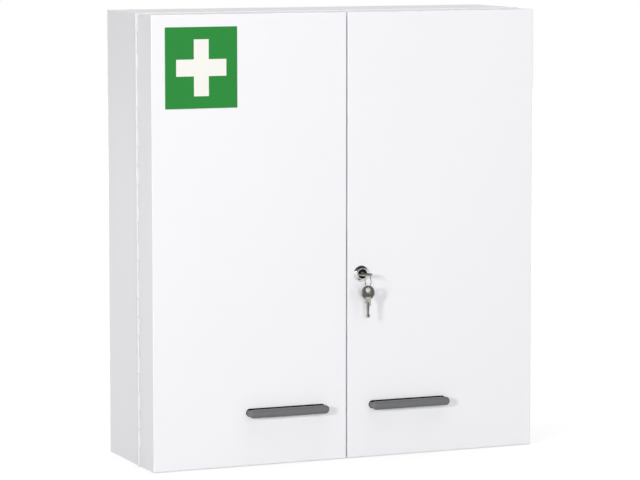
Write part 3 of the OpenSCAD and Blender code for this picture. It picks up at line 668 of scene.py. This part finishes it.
class CABINET_OT_doors(Operator):
    """Folds the two door pans, with mitred flanges, and pierces them for their hardware"""
    bl_idname = "cabinet.doors"
    bl_label = "Door pans"

    def execute(self, context):
        s = context.scene.cabinet_sheet
        low, high = box_of("right_door_panel")
        flange = s.door_return / MM
        pan = block("pan", low, high)
        opened(pan, (0, 1, 0), flange)
        round_off(pan, sharp, s.bend / MM, 5)
        thicken(pan, s.sheet / MM)
        # Slits from the corners of the opening towards the corners of the pan, which stay whole
        whole, through = 2.5, 3
        reach = flange - whole
        for x, way_x in ((low.x, 1), (high.x, -1)):
            for z, way_z in ((low.z, 1), (high.z, -1)):
                at = (x + way_x * (flange - reach / 2), high.y, z + way_z * (flange - reach / 2))
                rest()
                bpy.ops.mesh.primitive_cube_add(size=MM, location=metres(at),
                                                rotation=(0, -way_x * way_z * math.pi / 4, 0))
                bpy.context.object.scale = (reach * math.sqrt(2), through, s.mitre / MM)
                cut(pan, settle("slit"))

        # Openings for the dead bolt, the two screws of a handle and the lock barrel
        bolt_play = Vector((0, 1.5, 1.5))
        screw_pitch, screw_hole, barrel_hole = 96, 1.95, 9.1
        front, behind = low.y - OVERSHOOT, low.y + through
        bolt_low, bolt_high = box_of("dead_bolt")
        cut(pan, block("slot", (low.x - OVERSHOOT, *(bolt_low - bolt_play).yz),
                       (low.x + through, *(bolt_high + bolt_play).yz)))
        grip_low, grip_high = box_of("right_handle")
        x, z = (grip_low.x + grip_high.x) / 2, (grip_low.z + grip_high.z) / 2
        for side in (-1, 1):
            cut(pan, rod("drill", "Y", screw_hole, front, behind, (x + side * screw_pitch / 2, 0, z)))
        left = mirrored(pan, "left_door_pan")
        barrel_low, barrel_high = box_of("lock_barrel")
        cut(pan, rod("drill", "Y", barrel_hole, front, behind, (barrel_low + barrel_high) / 2, 48))
        pan.name = pan.data.name = "right_door_pan"
        for piece, node in ((left, "left_door_panel"), (pan, "right_door_panel")):
            soften(piece, s.cut_edge / MM)
            done(piece, node)
        return {"FINISHED"}


class CABINET_OT_hinges(Operator):
    """Rolls the knuckles of the two continuous hinges"""
    bl_idname = "cabinet.hinges"
    bl_label = "Continuous hinges"

    def execute(self, context):
        # Thickness of a leaf, its lip and its knuckles, length of a knuckle and the split after it
        leaf_t, lip_t, knuckle_t, knuckle_length, split = 0.8, 0.4, 0.85, 25, 0.5
        # From the axle to a leaf's outer face and to the edge of its lip, and from leaf to knuckles
        leaf_offset, lip_edge, play = 2, 1.05, 0.4
        pin_low, pin_high = box_of("right_hinge_pin")
        axle = (pin_low + pin_high) / 2
        roll = box_of("right_hinge_door_leaf")[1].x - axle.x
        top = box_of("right_side_panel")[1].z
        pairs = round(top / knuckle_length)
        step = top / pairs
        for leaf, phase, way in (("frame_leaf", 0, 1), ("door_leaf", 1, -1)):
            low = box_of("right_hinge_" + leaf)[0]
            flat = axle.y + way * leaf_offset
            reach = axle.x - roll - play
            foot, head = max(low.z, 1 - top), top - 1
            strip = block("strip", (low.x, flat, foot), (reach, flat - leaf_t * way, head))
            # Thin lip that closes the view past the knuckles of the other leaf
            lip = block("lip", (reach - 0.6, flat, foot), (axle.x - lip_edge, flat - lip_t * way, head))
            turns = [math.radians(90 * way - way * 20 * i) for i in range(17)]
            path = [(axle.x - roll - 1.4, axle.y + way * roll)]
            path += [(axle.x + roll * math.cos(t), axle.y + roll * math.sin(t)) for t in turns]
            bottom = -top + phase * step + split / 2
            knuckles = folded("knuckle", path, "Z", bottom, bottom + step - split, knuckle_t)
            modified(knuckles, "ARRAY", count=pairs, use_relative_offset=False, use_constant_offset=True,
                     constant_offset_displace=(0, 0, 2 * step * MM))
            soften(strip, 0.15)
            soften(knuckles, 0.12, 1, 70)
            piece = joined(f"right_hinge_{leaf}_rolled", strip, lip, knuckles)
            # The knuckles get the white coat made darker, as painted shade against the lamps
            piece.data.materials.append(finish("shaded_hinge_coat"))
            twin = mirrored(piece, f"left_hinge_{leaf}_rolled")
            done(piece, "right_hinge_" + leaf, slot="white_enamel")
            done(twin, "left_hinge_" + leaf, slot="white_enamel")
        return {"FINISHED"}


class CABINET_OT_trays(Operator):
    """Folds the six door trays"""
    bl_idname = "cabinet.trays"
    bl_label = "Door trays"

    def execute(self, context):
        s = context.scene.cabinet_sheet
        for level in ("lower", "middle", "upper"):
            node = f"right_{level}_tray"
            low, high = box_of(node)
            path = [(low.y, high.z), (low.y, low.z), (high.y, low.z), (high.y, high.z)]
            tray = folded(node + "_folded", path, "X", low.x, high.x, s.sheet / MM, s.bend / MM)
            soften(tray, 0.35, 3)
            done(mirrored(tray, f"left_{level}_tray_folded"), f"left_{level}_tray")
            done(tray, node)
        return {"FINISHED"}


class CABINET_OT_shelves(Operator):
    """Folds the two shelves and bends the eight clips that carry them"""
    bl_idname = "cabinet.shelves"
    bl_label = "Shelves and clips"

    def execute(self, context):
        s = context.scene.cabinet_sheet
        for level in ("lower", "upper"):
            low, high = box_of(level + "_shelf")
            path = [(low.y, low.z), (low.y, high.z), (high.y, high.z), (high.y, low.z)]
            shelf = folded(level + "_shelf_folded", path, "X", low.x, high.x, s.sheet / MM, s.bend / MM)
            soften(shelf, 0.35, 3)
            done(shelf, level + "_shelf")

            # Clip: a back on the upright, with a ledge under the shelf and a tongue through the slot
            low, high = box_of(level + "_shelf_clips")
            face, top, width = box_of("right_shelf_uprights")[0].x, high.z, 7.6
            outline = [(-14, top), (-14, top - 1.5), (-2.7, top - 1.5), (-1.7, top - 1.8), (-1.5, top - 2.6),
                       (-1.5, low.z + 1), (-1.1, low.z), (-0.1, low.z), (-0.1, top - 1.5),
                       (2.6, top - 1.5), (3, top - 1.1), (3, top)]
            clip = plate("clip", [(face + x, low.y, z) for x, z in outline], (0, width, 0))
            soften(clip, 0.2)
            rear = copied(clip, "clip_rear", (0, high.y - low.y - width, 0))
            pair = joined("clip_pair", clip, rear)
            clips = joined(level + "_shelf_clips_bent", mirrored(pair, "clip_twin"), pair)
            done(clips, level + "_shelf_clips")
        return {"FINISHED"}


# ---------------------------------------------------------------- handles and small hardware


def stadium(name, width, height, start, end, centre):
    """Upright plate with round ends, between two planes across Y."""
    piece = rod(name, "Y", height / 2, start, end, centre, 48)
    for way in (-1, 1):
        edit(piece, "VERT", lambda v: (middle_of(v).x - centre[0]) * way > 1e-4)
        bpy.ops.transform.translate(value=(way * (width - height) / 2 * MM, 0, 0))
        rest()
    return piece


class CABINET_OT_handles(Operator):
    """Moulds the two bow handles, each with a crowned bar, two legs and a foot plate"""
    bl_idname = "cabinet.handles"
    bl_label = "Bow handles"

    def execute(self, context):
        g = context.scene.cabinet_grip
        crown, half_leg = g.crown / MM, g.leg_height / 2 / MM
        # Rings of the crown, from its edge: width in millimetres, and part of the whole rise
        rings = ((0.5, 0.40), (0.6, 0.28), (0.7, 0.17), (0.7, 0.08), (0.6, 0.03))
        whole = sum(rise for width, rise in rings)
        for hand in HANDS:
            node = hand + "_handle"
            low, high = box_of(node)
            centre = (low + high) / 2
            size = high - low
            front, back = low.y + crown, low.y + g.bar / MM
            foot_face = high.y - g.foot / MM
            bar = stadium("bar", size.x, size.z, front, back, centre)
            round_off(bar, sharp_at_y(back), 0.5, 2)
            round_off(bar, sharp_at_y(front), g.edge / MM, 4)
            edit(bar, "FACE", front_disc)
            for width, rise in rings:
                bpy.ops.mesh.inset(thickness=width * MM, depth=rise * crown / whole * MM,
                                   use_even_offset=True)
            rest()
            legs = []
            for way in (-1, 1):
                end = centre.x + way * (size.x / 2 - 0.75)
                leg = block("leg", (end, back - 0.4, centre.z - half_leg),
                            (end - way * g.leg_length / MM, foot_face + 0.2, centre.z + half_leg))
                legs.append(round_off(leg, sharp_along_y(5), 1.5, 4))
            done(joined(node + "_bar", *legs, bar), node, angle=50)
            foot = stadium(node + "_foot", size.x, size.z, foot_face, high.y, centre)
            soften(foot, 0.35)
            done(foot, node, slot="black_rubber")
        return {"FINISHED"}


def pan_head_screw(name, head_r, head_t, shank_r, shank_end, at, way):
    """Screw along Y with a domed head and a cross recess; way is the direction of its head."""
    x, seat, z = at
    crown = seat + way * head_t
    head = rod(name, "Y", head_r, seat, crown, (x, 0, z), 40)
    round_off(head, sharp_at_y(crown), 0.55 * head_t, 5)
    arm, width, overlap = 0.6 * head_r, 0.2 * head_r, 0.1
    for dx, dz in ((arm, width), (width, arm)):
        cut(head, block("recess", (x - dx, crown + way * overlap, z - dz),
                        (x + dx, crown - way * 0.55 * head_t, z + dz)))
    shank = rod("shank", "Y", shank_r, seat + way * overlap, shank_end, (x, 0, z), 24)
    return joined(name, shank, head)


class CABINET_OT_screws(Operator):
    """Makes the screws of the handles, the catches and the bolt guides"""
    bl_idname = "cabinet.screws"
    bl_label = "Screws"

    def execute(self, context):
        # Distance of a catch from the middle, and pitch of the screws of a catch and of a guide
        catch_x, catch_pitch, guide_pitch = 45, 20, 28
        for node, way, head_r, head_t, shank_r in (
                ("left_handle_screws", 1, 3.5, 2.1, 1.75), ("right_handle_screws", 1, 3.5, 2.1, 1.75),
                ("catch_screws", -1, 2.8, 1.6, 1.5), ("guide_screws", -1, 2.8, 1.6, 1.5)):
            low, high = box_of(node)
            seat = high.y - head_t if way > 0 else low.y + head_t
            end = low.y if way > 0 else high.y
            top = high.z - head_r
            if node == "catch_screws":
                places = [(side * (catch_x + dx), top) for side in (-1, 1)
                          for dx in (-catch_pitch / 2, catch_pitch / 2)]
            elif node == "guide_screws":
                places = [((low.x + high.x) / 2, side * z) for side in (-1, 1)
                          for z in (top, top - guide_pitch)]
            else:
                places = [(x, (low.z + high.z) / 2) for x in (low.x + head_r, high.x - head_r)]
            x, z = places[0]
            first = pan_head_screw("screw", head_r, head_t, shank_r, end, (x, seat, z), way)
            others = [copied(first, "screw", (next_x - x, 0, next_z - z)) for next_x, next_z in places[1:]]
            done(joined(node + "_crossed", *others, first), node)
        return {"FINISHED"}


class CABINET_OT_catches(Operator):
    """Makes the magnet catches with their pole plates, the strike plates and the rubber buffers"""
    bl_idname = "cabinet.catches"
    bl_label = "Catches and buffers"

    def execute(self, context):
        low, high = box_of("right_magnet_catch")
        wall = box_of("top_panel")[0].y + 1
        nose_top = high.z - 17.2
        # Setback of the nose and of the pole plates from the sides, and thickness of a pole plate
        nose_in, pole_in, pole_t = 1.5, 2.5, 1.6
        housing = block("housing", (low.x, wall, low.z), high)
        nose = block("nose", (low.x + nose_in, low.y + 0.9, low.z + 0.6),
                     (high.x - nose_in, wall + 1, nose_top - 0.6))
        soften(housing, 1.2, 3)
        soften(nose, 0.5)
        poles = []
        for z in (low.z + pole_t, nose_top - 2 * pole_t):
            pole = block("pole", (low.x + pole_in, low.y, z), (high.x - pole_in, wall - 0.4, z + pole_t))
            poles.append(soften(pole, 0.2))
        for hand in HANDS:
            node = hand + "_magnet_catch"
            body = joined(node + "_housing", copied(nose, "nose"), copied(housing, "housing"))
            plates = joined(node + "_poles", *[copied(p, "pole") for p in poles])
            if hand == "left":
                for piece in (body, plates):
                    take(piece)
                    piece.scale.x = -1
                    outward(settle(piece.name))
            done(body, node)
            done(plates, node, slot="zinc_steel")
        for piece in (housing, nose, *poles):
            bpy.data.objects.remove(piece)

        strike = block("right_strike_plate_pressed", *box_of("right_strike_plate"))
        round_off(strike, sharp_along_y(0.5), 2, 4)
        soften(strike, 0.2)
        done(mirrored(strike, "left_strike_plate_pressed"), "left_strike_plate")
        done(strike, "right_strike_plate")

        low, high = box_of("door_buffers")
        radius = 5
        centre = (high.x - radius, 0, high.z - radius + 0.01)
        first = rod("buffer", "Y", radius, low.y, high.y, centre, 40)
        round_off(first, sharp_at_y(low.y), 1.5, 4)
        edit(first, "FACE", front_disc)
        bpy.ops.mesh.inset(thickness=1.4 * MM)
        bpy.ops.mesh.inset(thickness=0.3 * MM, depth=-0.5 * MM)
        rest()
        pair = joined("buffer_pair", copied(first, "low_buffer", (0, 0, low.z - high.z + 2 * radius)), first)
        buffers = joined("door_buffers_domed", mirrored(pair, "buffer_twins"), pair)
        done(buffers, "door_buffers")
        return {"FINISHED"}


class CABINET_OT_slide_bolts(Operator):
    """Makes the two slide bolts of the left door and their guides"""
    bl_idname = "cabinet.slide_bolts"
    bl_label = "Slide bolts"

    def execute(self, context):
        # Thickness of a bolt and its play in the guide, radius and height of its knob, radius of the stem
        bolt_t, play, knob_r, knob_t, stem_r = 3, 0.25, 4, 3, 2.5
        slot_length, slot_width, screw_pitch, screw_hole, screw_depth = 17.5, 5.5, 28, 1.55, 4.6
        low, high = box_of("upper_slide_bolt")
        guide_low, guide_high = box_of("upper_bolt_guide")
        x = (low.x + high.x) / 2
        back = low.y + bolt_t
        guide_z = (guide_low.z + guide_high.z) / 2
        stem_at = (x, 0, guide_z - 6)
        bolt = block("bolt", low, (high.x, back, high.z))
        round_off(bolt, lambda e: sharp(e) and middle_of(e).z > high.z - NEAR, 1.2, 1)
        soften(bolt, 0.25)
        stem = rod("stem", "Y", stem_r, back - 1, high.y - 1, stem_at)
        knob = rod("knob", "Y", knob_r, high.y - knob_t, high.y, stem_at)

        def pressed(face):
            """Test for every second side face of the knob, which is pressed in as knurling."""
            sixteenth = math.atan2(face.normal.z, face.normal.x) * 16 / math.pi
            return abs(face.normal.y) < 0.1 and round(sixteenth - 0.5) % 2 == 0

        edit(knob, "FACE", pressed)
        bpy.ops.mesh.inset(thickness=0.12 * MM, depth=-0.22 * MM, use_individual=True)
        rest()
        soften(knob, 0.15, 1, 60)
        bolt = joined("upper_slide_bolt_knurled", stem, knob, bolt)
        outward(bolt, 0.002)
        done(mirrored(bolt, "lower_slide_bolt_knurled", 2), "lower_slide_bolt")
        done(bolt, "upper_slide_bolt")

        guide = block("upper_bolt_guide_moulded", guide_low, guide_high)
        soften(guide, 0.9, 3)
        cut(guide, block("way", (low.x - play, low.y - play, guide_low.z - OVERSHOOT),
                         (high.x + play, back + play, guide_high.z + OVERSHOOT)))
        slot = stadium("slot", slot_length, slot_width, back - 1, guide_high.y + OVERSHOOT, (x, 0, guide_z))
        edit(slot, "VERT")
        bpy.ops.transform.rotate(value=math.pi / 2, orient_axis="Y", center_override=metres((x, 0, guide_z)))
        rest()
        cut(guide, slot)
        for side in (-1, 1):
            cut(guide, rod("drill", "Y", screw_hole, guide_low.y - OVERSHOOT, guide_low.y + screw_depth,
                           (x, 0, guide_z + side * screw_pitch / 2), 24))
        soften(guide, 0.15, 1, 60)
        done(mirrored(guide, "lower_bolt_guide_moulded", 2), "lower_bolt_guide")
        done(guide, "upper_bolt_guide")
        return {"FINISHED"}


# ---------------------------------------------------------------- lock and keys


class CABINET_OT_lock(Operator):
    """Turns the lock barrel with its bezel, and the plug with its keyway"""
    bl_idname = "cabinet.lock"
    bl_label = "Lock"

    def execute(self, context):
        k = context.scene.cabinet_lock
        low, high = box_of("lock_barrel")
        centre = (low + high) / 2
        door = box_of("right_door_panel")[0].y
        face = low.y
        bezel = (high.x - low.x) / 2
        plug = (box_of("lock_plug")[1].x - box_of("lock_plug")[0].x) / 2
        bore = plug + 0.08
        collar, neck = k.collar / MM, k.barrel / MM

        def from_axis(part):
            return math.hypot(middle_of(part).x - centre.x, middle_of(part).z - centre.z)

        # The bezel rises in a soft wave to the collar, which dips into the bore
        wave = [(bezel, door), (bezel, door - 0.7), (bezel - 0.25, door - 1.3), (bezel - 0.8, door - 1.95),
                (bezel - 1.5, door - 2.45), (bezel - 2.3, door - 2.8), (bezel - 3.0, door - 3.0),
                (collar + 0.45, door - 3.15), (collar + 0.12, door - 3.5), (collar, door - 3.95),
                (collar - 0.12, face + 0.3), (collar - 0.45, face + 0.06), (collar - 0.8, face),
                (collar - 1.05, face + 0.12), (bore + 0.35, face + 0.6), (bore, face + 1.3)]
        profile = [(bore, high.y), (neck, high.y), (neck, door), *wave, (bore, high.y)]
        barrel = turned("lock_barrel_turned", profile, centre, 72)
        # The inner dip of the collar is painted black, as a painted dark reflection and painted shade round
        # the plug
        paint(barrel, ("lock_chrome", "black_rubber"), lambda f: from_axis(f) < collar - 0.7)
        done(barrel, "lock_barrel", angle=50)

        low, high = box_of("lock_plug")
        boss, floor = k.boss / MM, low.y + k.recess / MM
        profile = [(0, low.y), (boss - 0.3, low.y), (boss, low.y + 0.2), (boss + 0.15, floor),
                   (plug - 0.7, floor), (plug - 0.4, floor - 0.5), (plug, floor - 0.5),
                   (plug, high.y), (0, high.y)]
        core = turned("lock_plug_turned", profile, centre)
        # The keyway has a wide mouth for the key's shoulder and a narrow way for its blade
        half_way = 1.15
        for name, left, right, start, end in (("mouth", -4.15, 4.15, -1, 8.55), ("way", -2.5, 3.4, 8, 24.5)):
            cut(core, block(name, (centre.x + left, low.y + start, centre.z - half_way),
                            (centre.x + right, low.y + end, centre.z + half_way)))
        # The ring round the boss and the walls of the keyway's mouth are painted black, as painted shade in
        # the recess
        paint(core, ("dark_nickel", "black_rubber"),
              lambda f: middle_of(f).y < low.y + 9 and from_axis(f) > boss + 0.05)
        done(core, "lock_plug", angle=50)
        return {"FINISHED"}


def key_outline(k):
    """Outline of the shoulder and the blade, along +Y from the middle of the bow."""
    half, blade = k.shoulder / 2 / MM, k.blade / 2 / MM
    bow = k.bow / MM
    start, shoulder = bow - 4, bow + 8
    right = [(half, start), (half, shoulder - 0.6), (half - 0.6, shoulder), (blade, shoulder),
             (blade - 0.2, shoulder + 1.4), (blade - 0.75, shoulder + 2.2), (blade - 0.2, shoulder + 3.4),
             (blade - 0.9, shoulder + 5), (blade - 0.45, shoulder + 6.2), (blade - 1.05, shoulder + 7.8),
             (blade - 0.9, shoulder + 9.6), (blade - 1.2, shoulder + 11), (blade + 0.2, shoulder + 12.2),
             (blade + 0.75, shoulder + 13.2), (blade + 0.8, shoulder + 14), (blade + 0.3, shoulder + 15.2),
             (blade - 1.2, shoulder + 16)]
    left = [(-blade + 1.2, shoulder + 16), (-blade + 0.2, shoulder + 15.2), (-blade, shoulder + 14.2),
            (-blade, shoulder + 13.2), (-blade + 0.3, shoulder + 12.2), (-blade + 0.9, shoulder + 11),
            (-blade + 0.75, shoulder + 8), (-blade + 0.3, shoulder + 5), (-blade, shoulder + 3),
            (-blade, shoulder - 2.2), (-blade - 0.2, shoulder - 3.4), (-half, shoulder - 3.6), (-half, start)]
    return right + left


def cut_key(k):
    """Key lying flat, with its bow centred on the origin and its blade along +Y."""
    thick, bow = k.thickness / 2 / MM, k.bow / MM
    disc = rod("bow", "Z", bow, -thick, thick, (0, 0, 0), 64)
    soften(disc, 0.55, 3)
    paint(disc, ("dark_nickel", "worn_nickel"), lambda f: abs(f.normal.z) < 0.6)
    for way in (-1, 1):
        edit(disc, "FACE", facing(z=way))
        bpy.ops.mesh.inset(thickness=1.0 * MM)
        bpy.ops.mesh.inset(thickness=0.3 * MM, depth=-0.35 * MM)
        rest()
        # A round-ended step that the stem lies in, at the blade's side of the bow
        cut(disc, rod("step", "Z", k.shoulder / 2 / MM + 0.9, way * (thick - 0.6), way * (thick + OVERSHOOT),
                      (0, bow - 2.6, 0), 40))
    cut(disc, rod("hole", "Z", k.hole / MM, -thick - OVERSHOOT, thick + OVERSHOOT,
                  (0, -k.hole_offset / MM, 0), 40))
    stem = plate("stem", [(x, y, -0.8) for x, y in key_outline(k)], (0, 0, 1.6))
    soften(stem, 0.22)
    for way in (-1, 1):
        # Milled grooves along the blade
        cut(stem, block("groove", (-0.45, bow + 3.4, way * 0.3), (0.6, bow + 23, way * 1.2)))
    # The faces of the grooves are painted black, as painted shade in the grooves
    paint(stem, ("worn_nickel", "black_rubber"),
          lambda f: abs(middle_of(f).x) < 0.8 and abs(middle_of(f).z) < 0.76 and middle_of(f).y > bow + 3.3)
    return joined("key", stem, disc)


class CABINET_OT_keys(Operator):
    """Cuts the key in the lock and the spare key, and coils the split ring"""
    bl_idname = "cabinet.keys"
    bl_label = "Keys and ring"

    def execute(self, context):
        k = context.scene.cabinet_key
        key, bow = cut_key(k), k.bow / MM
        low, high = box_of("lock_key")
        centre = (low + high) / 2
        done(copied(key, "lock_key_cut", (centre.x, low.y + bow, centre.z)), "lock_key")
        low, high = box_of("spare_key")
        centre = (low + high) / 2
        place = (centre.x, centre.y, high.z - bow)
        done(copied(key, "spare_key_cut", place, (-math.pi / 2, 0, 0)), "spare_key")
        bpy.data.objects.remove(key)

        # Split ring: a small circle carried round nearly twice
        low, high = box_of("key_ring")
        wire, rise, steps = k.ring_wire / MM, 0.28, 96
        radius = (high.y - low.y) / 2 - wire
        rest()
        bpy.ops.mesh.primitive_circle_add(vertices=12, radius=wire * MM, location=metres((low + high) / 2))
        ring = bpy.context.object
        edit(ring, "VERT")
        bpy.ops.transform.translate(value=metres((-rise, radius, 0)))
        rest()
        modified(ring, "SCREW", axis="X", angle=2 * math.pi * 0.98, iterations=2, screw_offset=rise * MM,
                 steps=steps, render_steps=steps, use_merge_vertices=False)
        piece = settle("key_ring_coiled")
        edit(piece, "EDGE", lambda e: len(e.link_faces) == 1)
        bpy.ops.mesh.edge_face_add()
        rest()
        outward(piece)
        done(piece, "key_ring", slot="dark_nickel", angle=60)
        return {"FINISHED"}


class CABINET_OT_plain_parts(Operator):
    """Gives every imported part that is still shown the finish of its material"""
    bl_idname = "cabinet.plain_parts"
    bl_label = "Other parts"

    def execute(self, context):
        for node, part in frame["nodes"].items():
            if not part.hide_render:
                for place in part.material_slots:
                    place.material = finish(SLOT_OF[node])
        return {"FINISHED"}


# ---------------------------------------------------------------- studio


class CABINET_OT_studio(Operator):
    """Sets up the floor, the lamps, the world and the camera"""
    bl_idname = "cabinet.studio"
    bl_label = "Studio"

    def execute(self, context):
        st = context.scene.cabinet_studio
        rest()
        bpy.ops.mesh.primitive_plane_add(size=14, location=(0, 0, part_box("left_side_panel")[0].z))
        floor = settle("floor")
        material = bpy.data.materials.new("pale_floor")
        material.use_nodes = True
        tree = material.node_tree
        tree.nodes.clear()
        path = put(tree, "LightPath").outputs
        seen = maths(tree, "ADD", path["Is Camera Ray"], path["Is Glossy Ray"])
        seen = maths(tree, "ADD", seen, path["Is Transmission Ray"])
        # The glow makes up for the falling light of the lamps, so that the open floor stays white
        where = put(tree, "TexCoord").outputs["Object"]
        far = put(tree, "VectorMath", {0: where}, operation="LENGTH").outputs["Value"]
        glow = maths(tree, "MULTIPLY", seen, mapped(tree, far, 0.5, 3.5, 0.7, 0.96))
        shade = put(tree, "BsdfDiffuse", {"Color": (*st.floor, 1)}).outputs[0]
        light = put(tree, "Emission", {"Strength": glow}).outputs[0]
        both = put(tree, "AddShader", {0: shade, 1: light}).outputs[0]
        put(tree, "OutputMaterial", {"Surface": both})
        floor.data.materials.append(material)

        world = bpy.data.worlds.new("studio")
        context.scene.world = world
        world.use_nodes = True
        tree = world.node_tree
        tree.nodes.clear()
        path = put(tree, "LightPath").outputs
        seen = maths(tree, "ADD", path["Is Camera Ray"], path["Is Transmission Ray"])
        around = put(tree, "TexCoord").outputs["Generated"]
        height = put(tree, "SeparateXYZ", {0: around}).outputs["Z"]

        def towards(way):
            """How nearly a ray into the world goes a given way, from -1 to 1."""
            return put(tree, "VectorMath", {0: around, 1: way}, operation="DOT_PRODUCT").outputs["Value"]

        def white_light(strength):
            return put(tree, "Background", {"Color": (1, 1, 1, 1), "Strength": strength}).outputs[0]

        # The light from all round grows overhead and behind the cabinet
        level = mapped(tree, towards(-direction(st.azimuth, 0)), -1, 1, st.ambient, st.ambient + st.rear)
        above = mapped(tree, height, 0.72, 0.95, 0, st.ceiling)
        even = white_light(maths(tree, "ADD", level, above))
        # Polished metal shows a white horizon under a dim ceiling, with a dimmer wall at the rear left
        level = mapped(tree, height, 0.12, 0.42, 1, 0.06)
        wall = mapped(tree, towards(direction(math.radians(-135), 0)), 0.5, 0.9, 1, 0.4)
        shown = white_light(maths(tree, "MULTIPLY", level, wall))
        white = white_light(1)
        glossy = put(tree, "MixShader", {0: path["Is Glossy Ray"], 1: even, 2: shown}).outputs[0]
        mixed = put(tree, "MixShader", {0: seen, 1: glossy, 2: white}).outputs[0]
        put(tree, "OutputWorld", {"Surface": mixed})

        # Lamps: azimuth and elevation in degrees, distance and width in metres, power
        for name, azimuth, elevation, away, size, power in (
                ("key_lamp", -49, 11, 6, 0.7, st.key_power), ("fill_lamp", 14, 15, 6, 0.8, st.fill_power),
                ("front_lamp", -16, 5, 7, 2.6, st.front_power)):
            back = direction(math.radians(azimuth), math.radians(elevation))
            bpy.ops.object.light_add(type="AREA", location=back * away)
            lamp = bpy.context.object
            lamp.name = name
            lamp.rotation_euler = (-back).to_track_quat("-Z", "Y").to_euler()
            lamp.data.shape = "SQUARE"
            lamp.data.size = size
            lamp.data.energy = power
            lamp.visible_camera = False
            # The large lamp lights the coat without a burnt highlight on the open doors
            lamp.visible_glossy = name != "front_lamp"

        back = direction(st.azimuth, st.elevation)
        bpy.ops.object.camera_add(location=Vector(st.target) + back * st.distance)
        camera = bpy.context.object
        camera.name = "front_left_view"
        camera.rotation_euler = (-back).to_track_quat("-Z", "Y").to_euler()
        camera.data.sensor_width = 36
        camera.data.lens = st.lens
        camera.data.clip_start, camera.data.clip_end = 0.05, 60
        context.scene.camera = camera
        context.scene.view_settings.view_transform = "Standard"
        return {"FINISHED"}


def direction(azimuth, elevation):
    """Unit vector from the cabinet towards a place round it."""
    return Vector((math.sin(azimuth) * math.cos(elevation), -math.cos(azimuth) * math.cos(elevation),
                   math.sin(elevation)))


STEPS = (CABINET_OT_finishes, CABINET_OT_body, CABINET_OT_back, CABINET_OT_doors, CABINET_OT_hinges,
         CABINET_OT_trays, CABINET_OT_shelves, CABINET_OT_handles, CABINET_OT_screws, CABINET_OT_catches,
         CABINET_OT_slide_bolts, CABINET_OT_lock, CABINET_OT_keys, CABINET_OT_plain_parts, CABINET_OT_studio)
GROUPS = {"cabinet_sheet": SheetSizes, "cabinet_grip": GripSizes, "cabinet_lock": LockSizes,
          "cabinet_key": KeySizes, "cabinet_colours": Colours, "cabinet_studio": StudioSizes}


class CABINET_PT_steps(Panel):
    """Lists the steps that build the cabinet, with their sizes and colours"""
    bl_idname = "CABINET_PT_steps"
    bl_label = "Medicine cabinet"
    bl_space_type = "VIEW_3D"
    bl_region_type = "UI"
    bl_category = "Cabinet"

    def draw(self, context):
        for step in STEPS:
            self.layout.operator(step.bl_idname)
        for group, kind in GROUPS.items():
            column = self.layout.box().column()
            for key in kind.__annotations__:
                column.prop(getattr(context.scene, group), key)


def register():
    for kind in (*GROUPS.values(), *STEPS, CABINET_PT_steps):
        bpy.utils.register_class(kind)
    for group, kind in GROUPS.items():
        setattr(bpy.types.Scene, group, PointerProperty(type=kind))


def unregister():
    for group in GROUPS:
        delattr(bpy.types.Scene, group)
    for kind in (CABINET_PT_steps, *reversed(STEPS), *reversed(GROUPS.values())):
        bpy.utils.unregister_class(kind)


def main():
    """Builds the cabinet step by step."""
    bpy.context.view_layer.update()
    register()
    for step in STEPS:
        group, name = step.bl_idname.split(".")
        getattr(getattr(bpy.ops, group), name)()


if __name__ == "__main__":
    main()
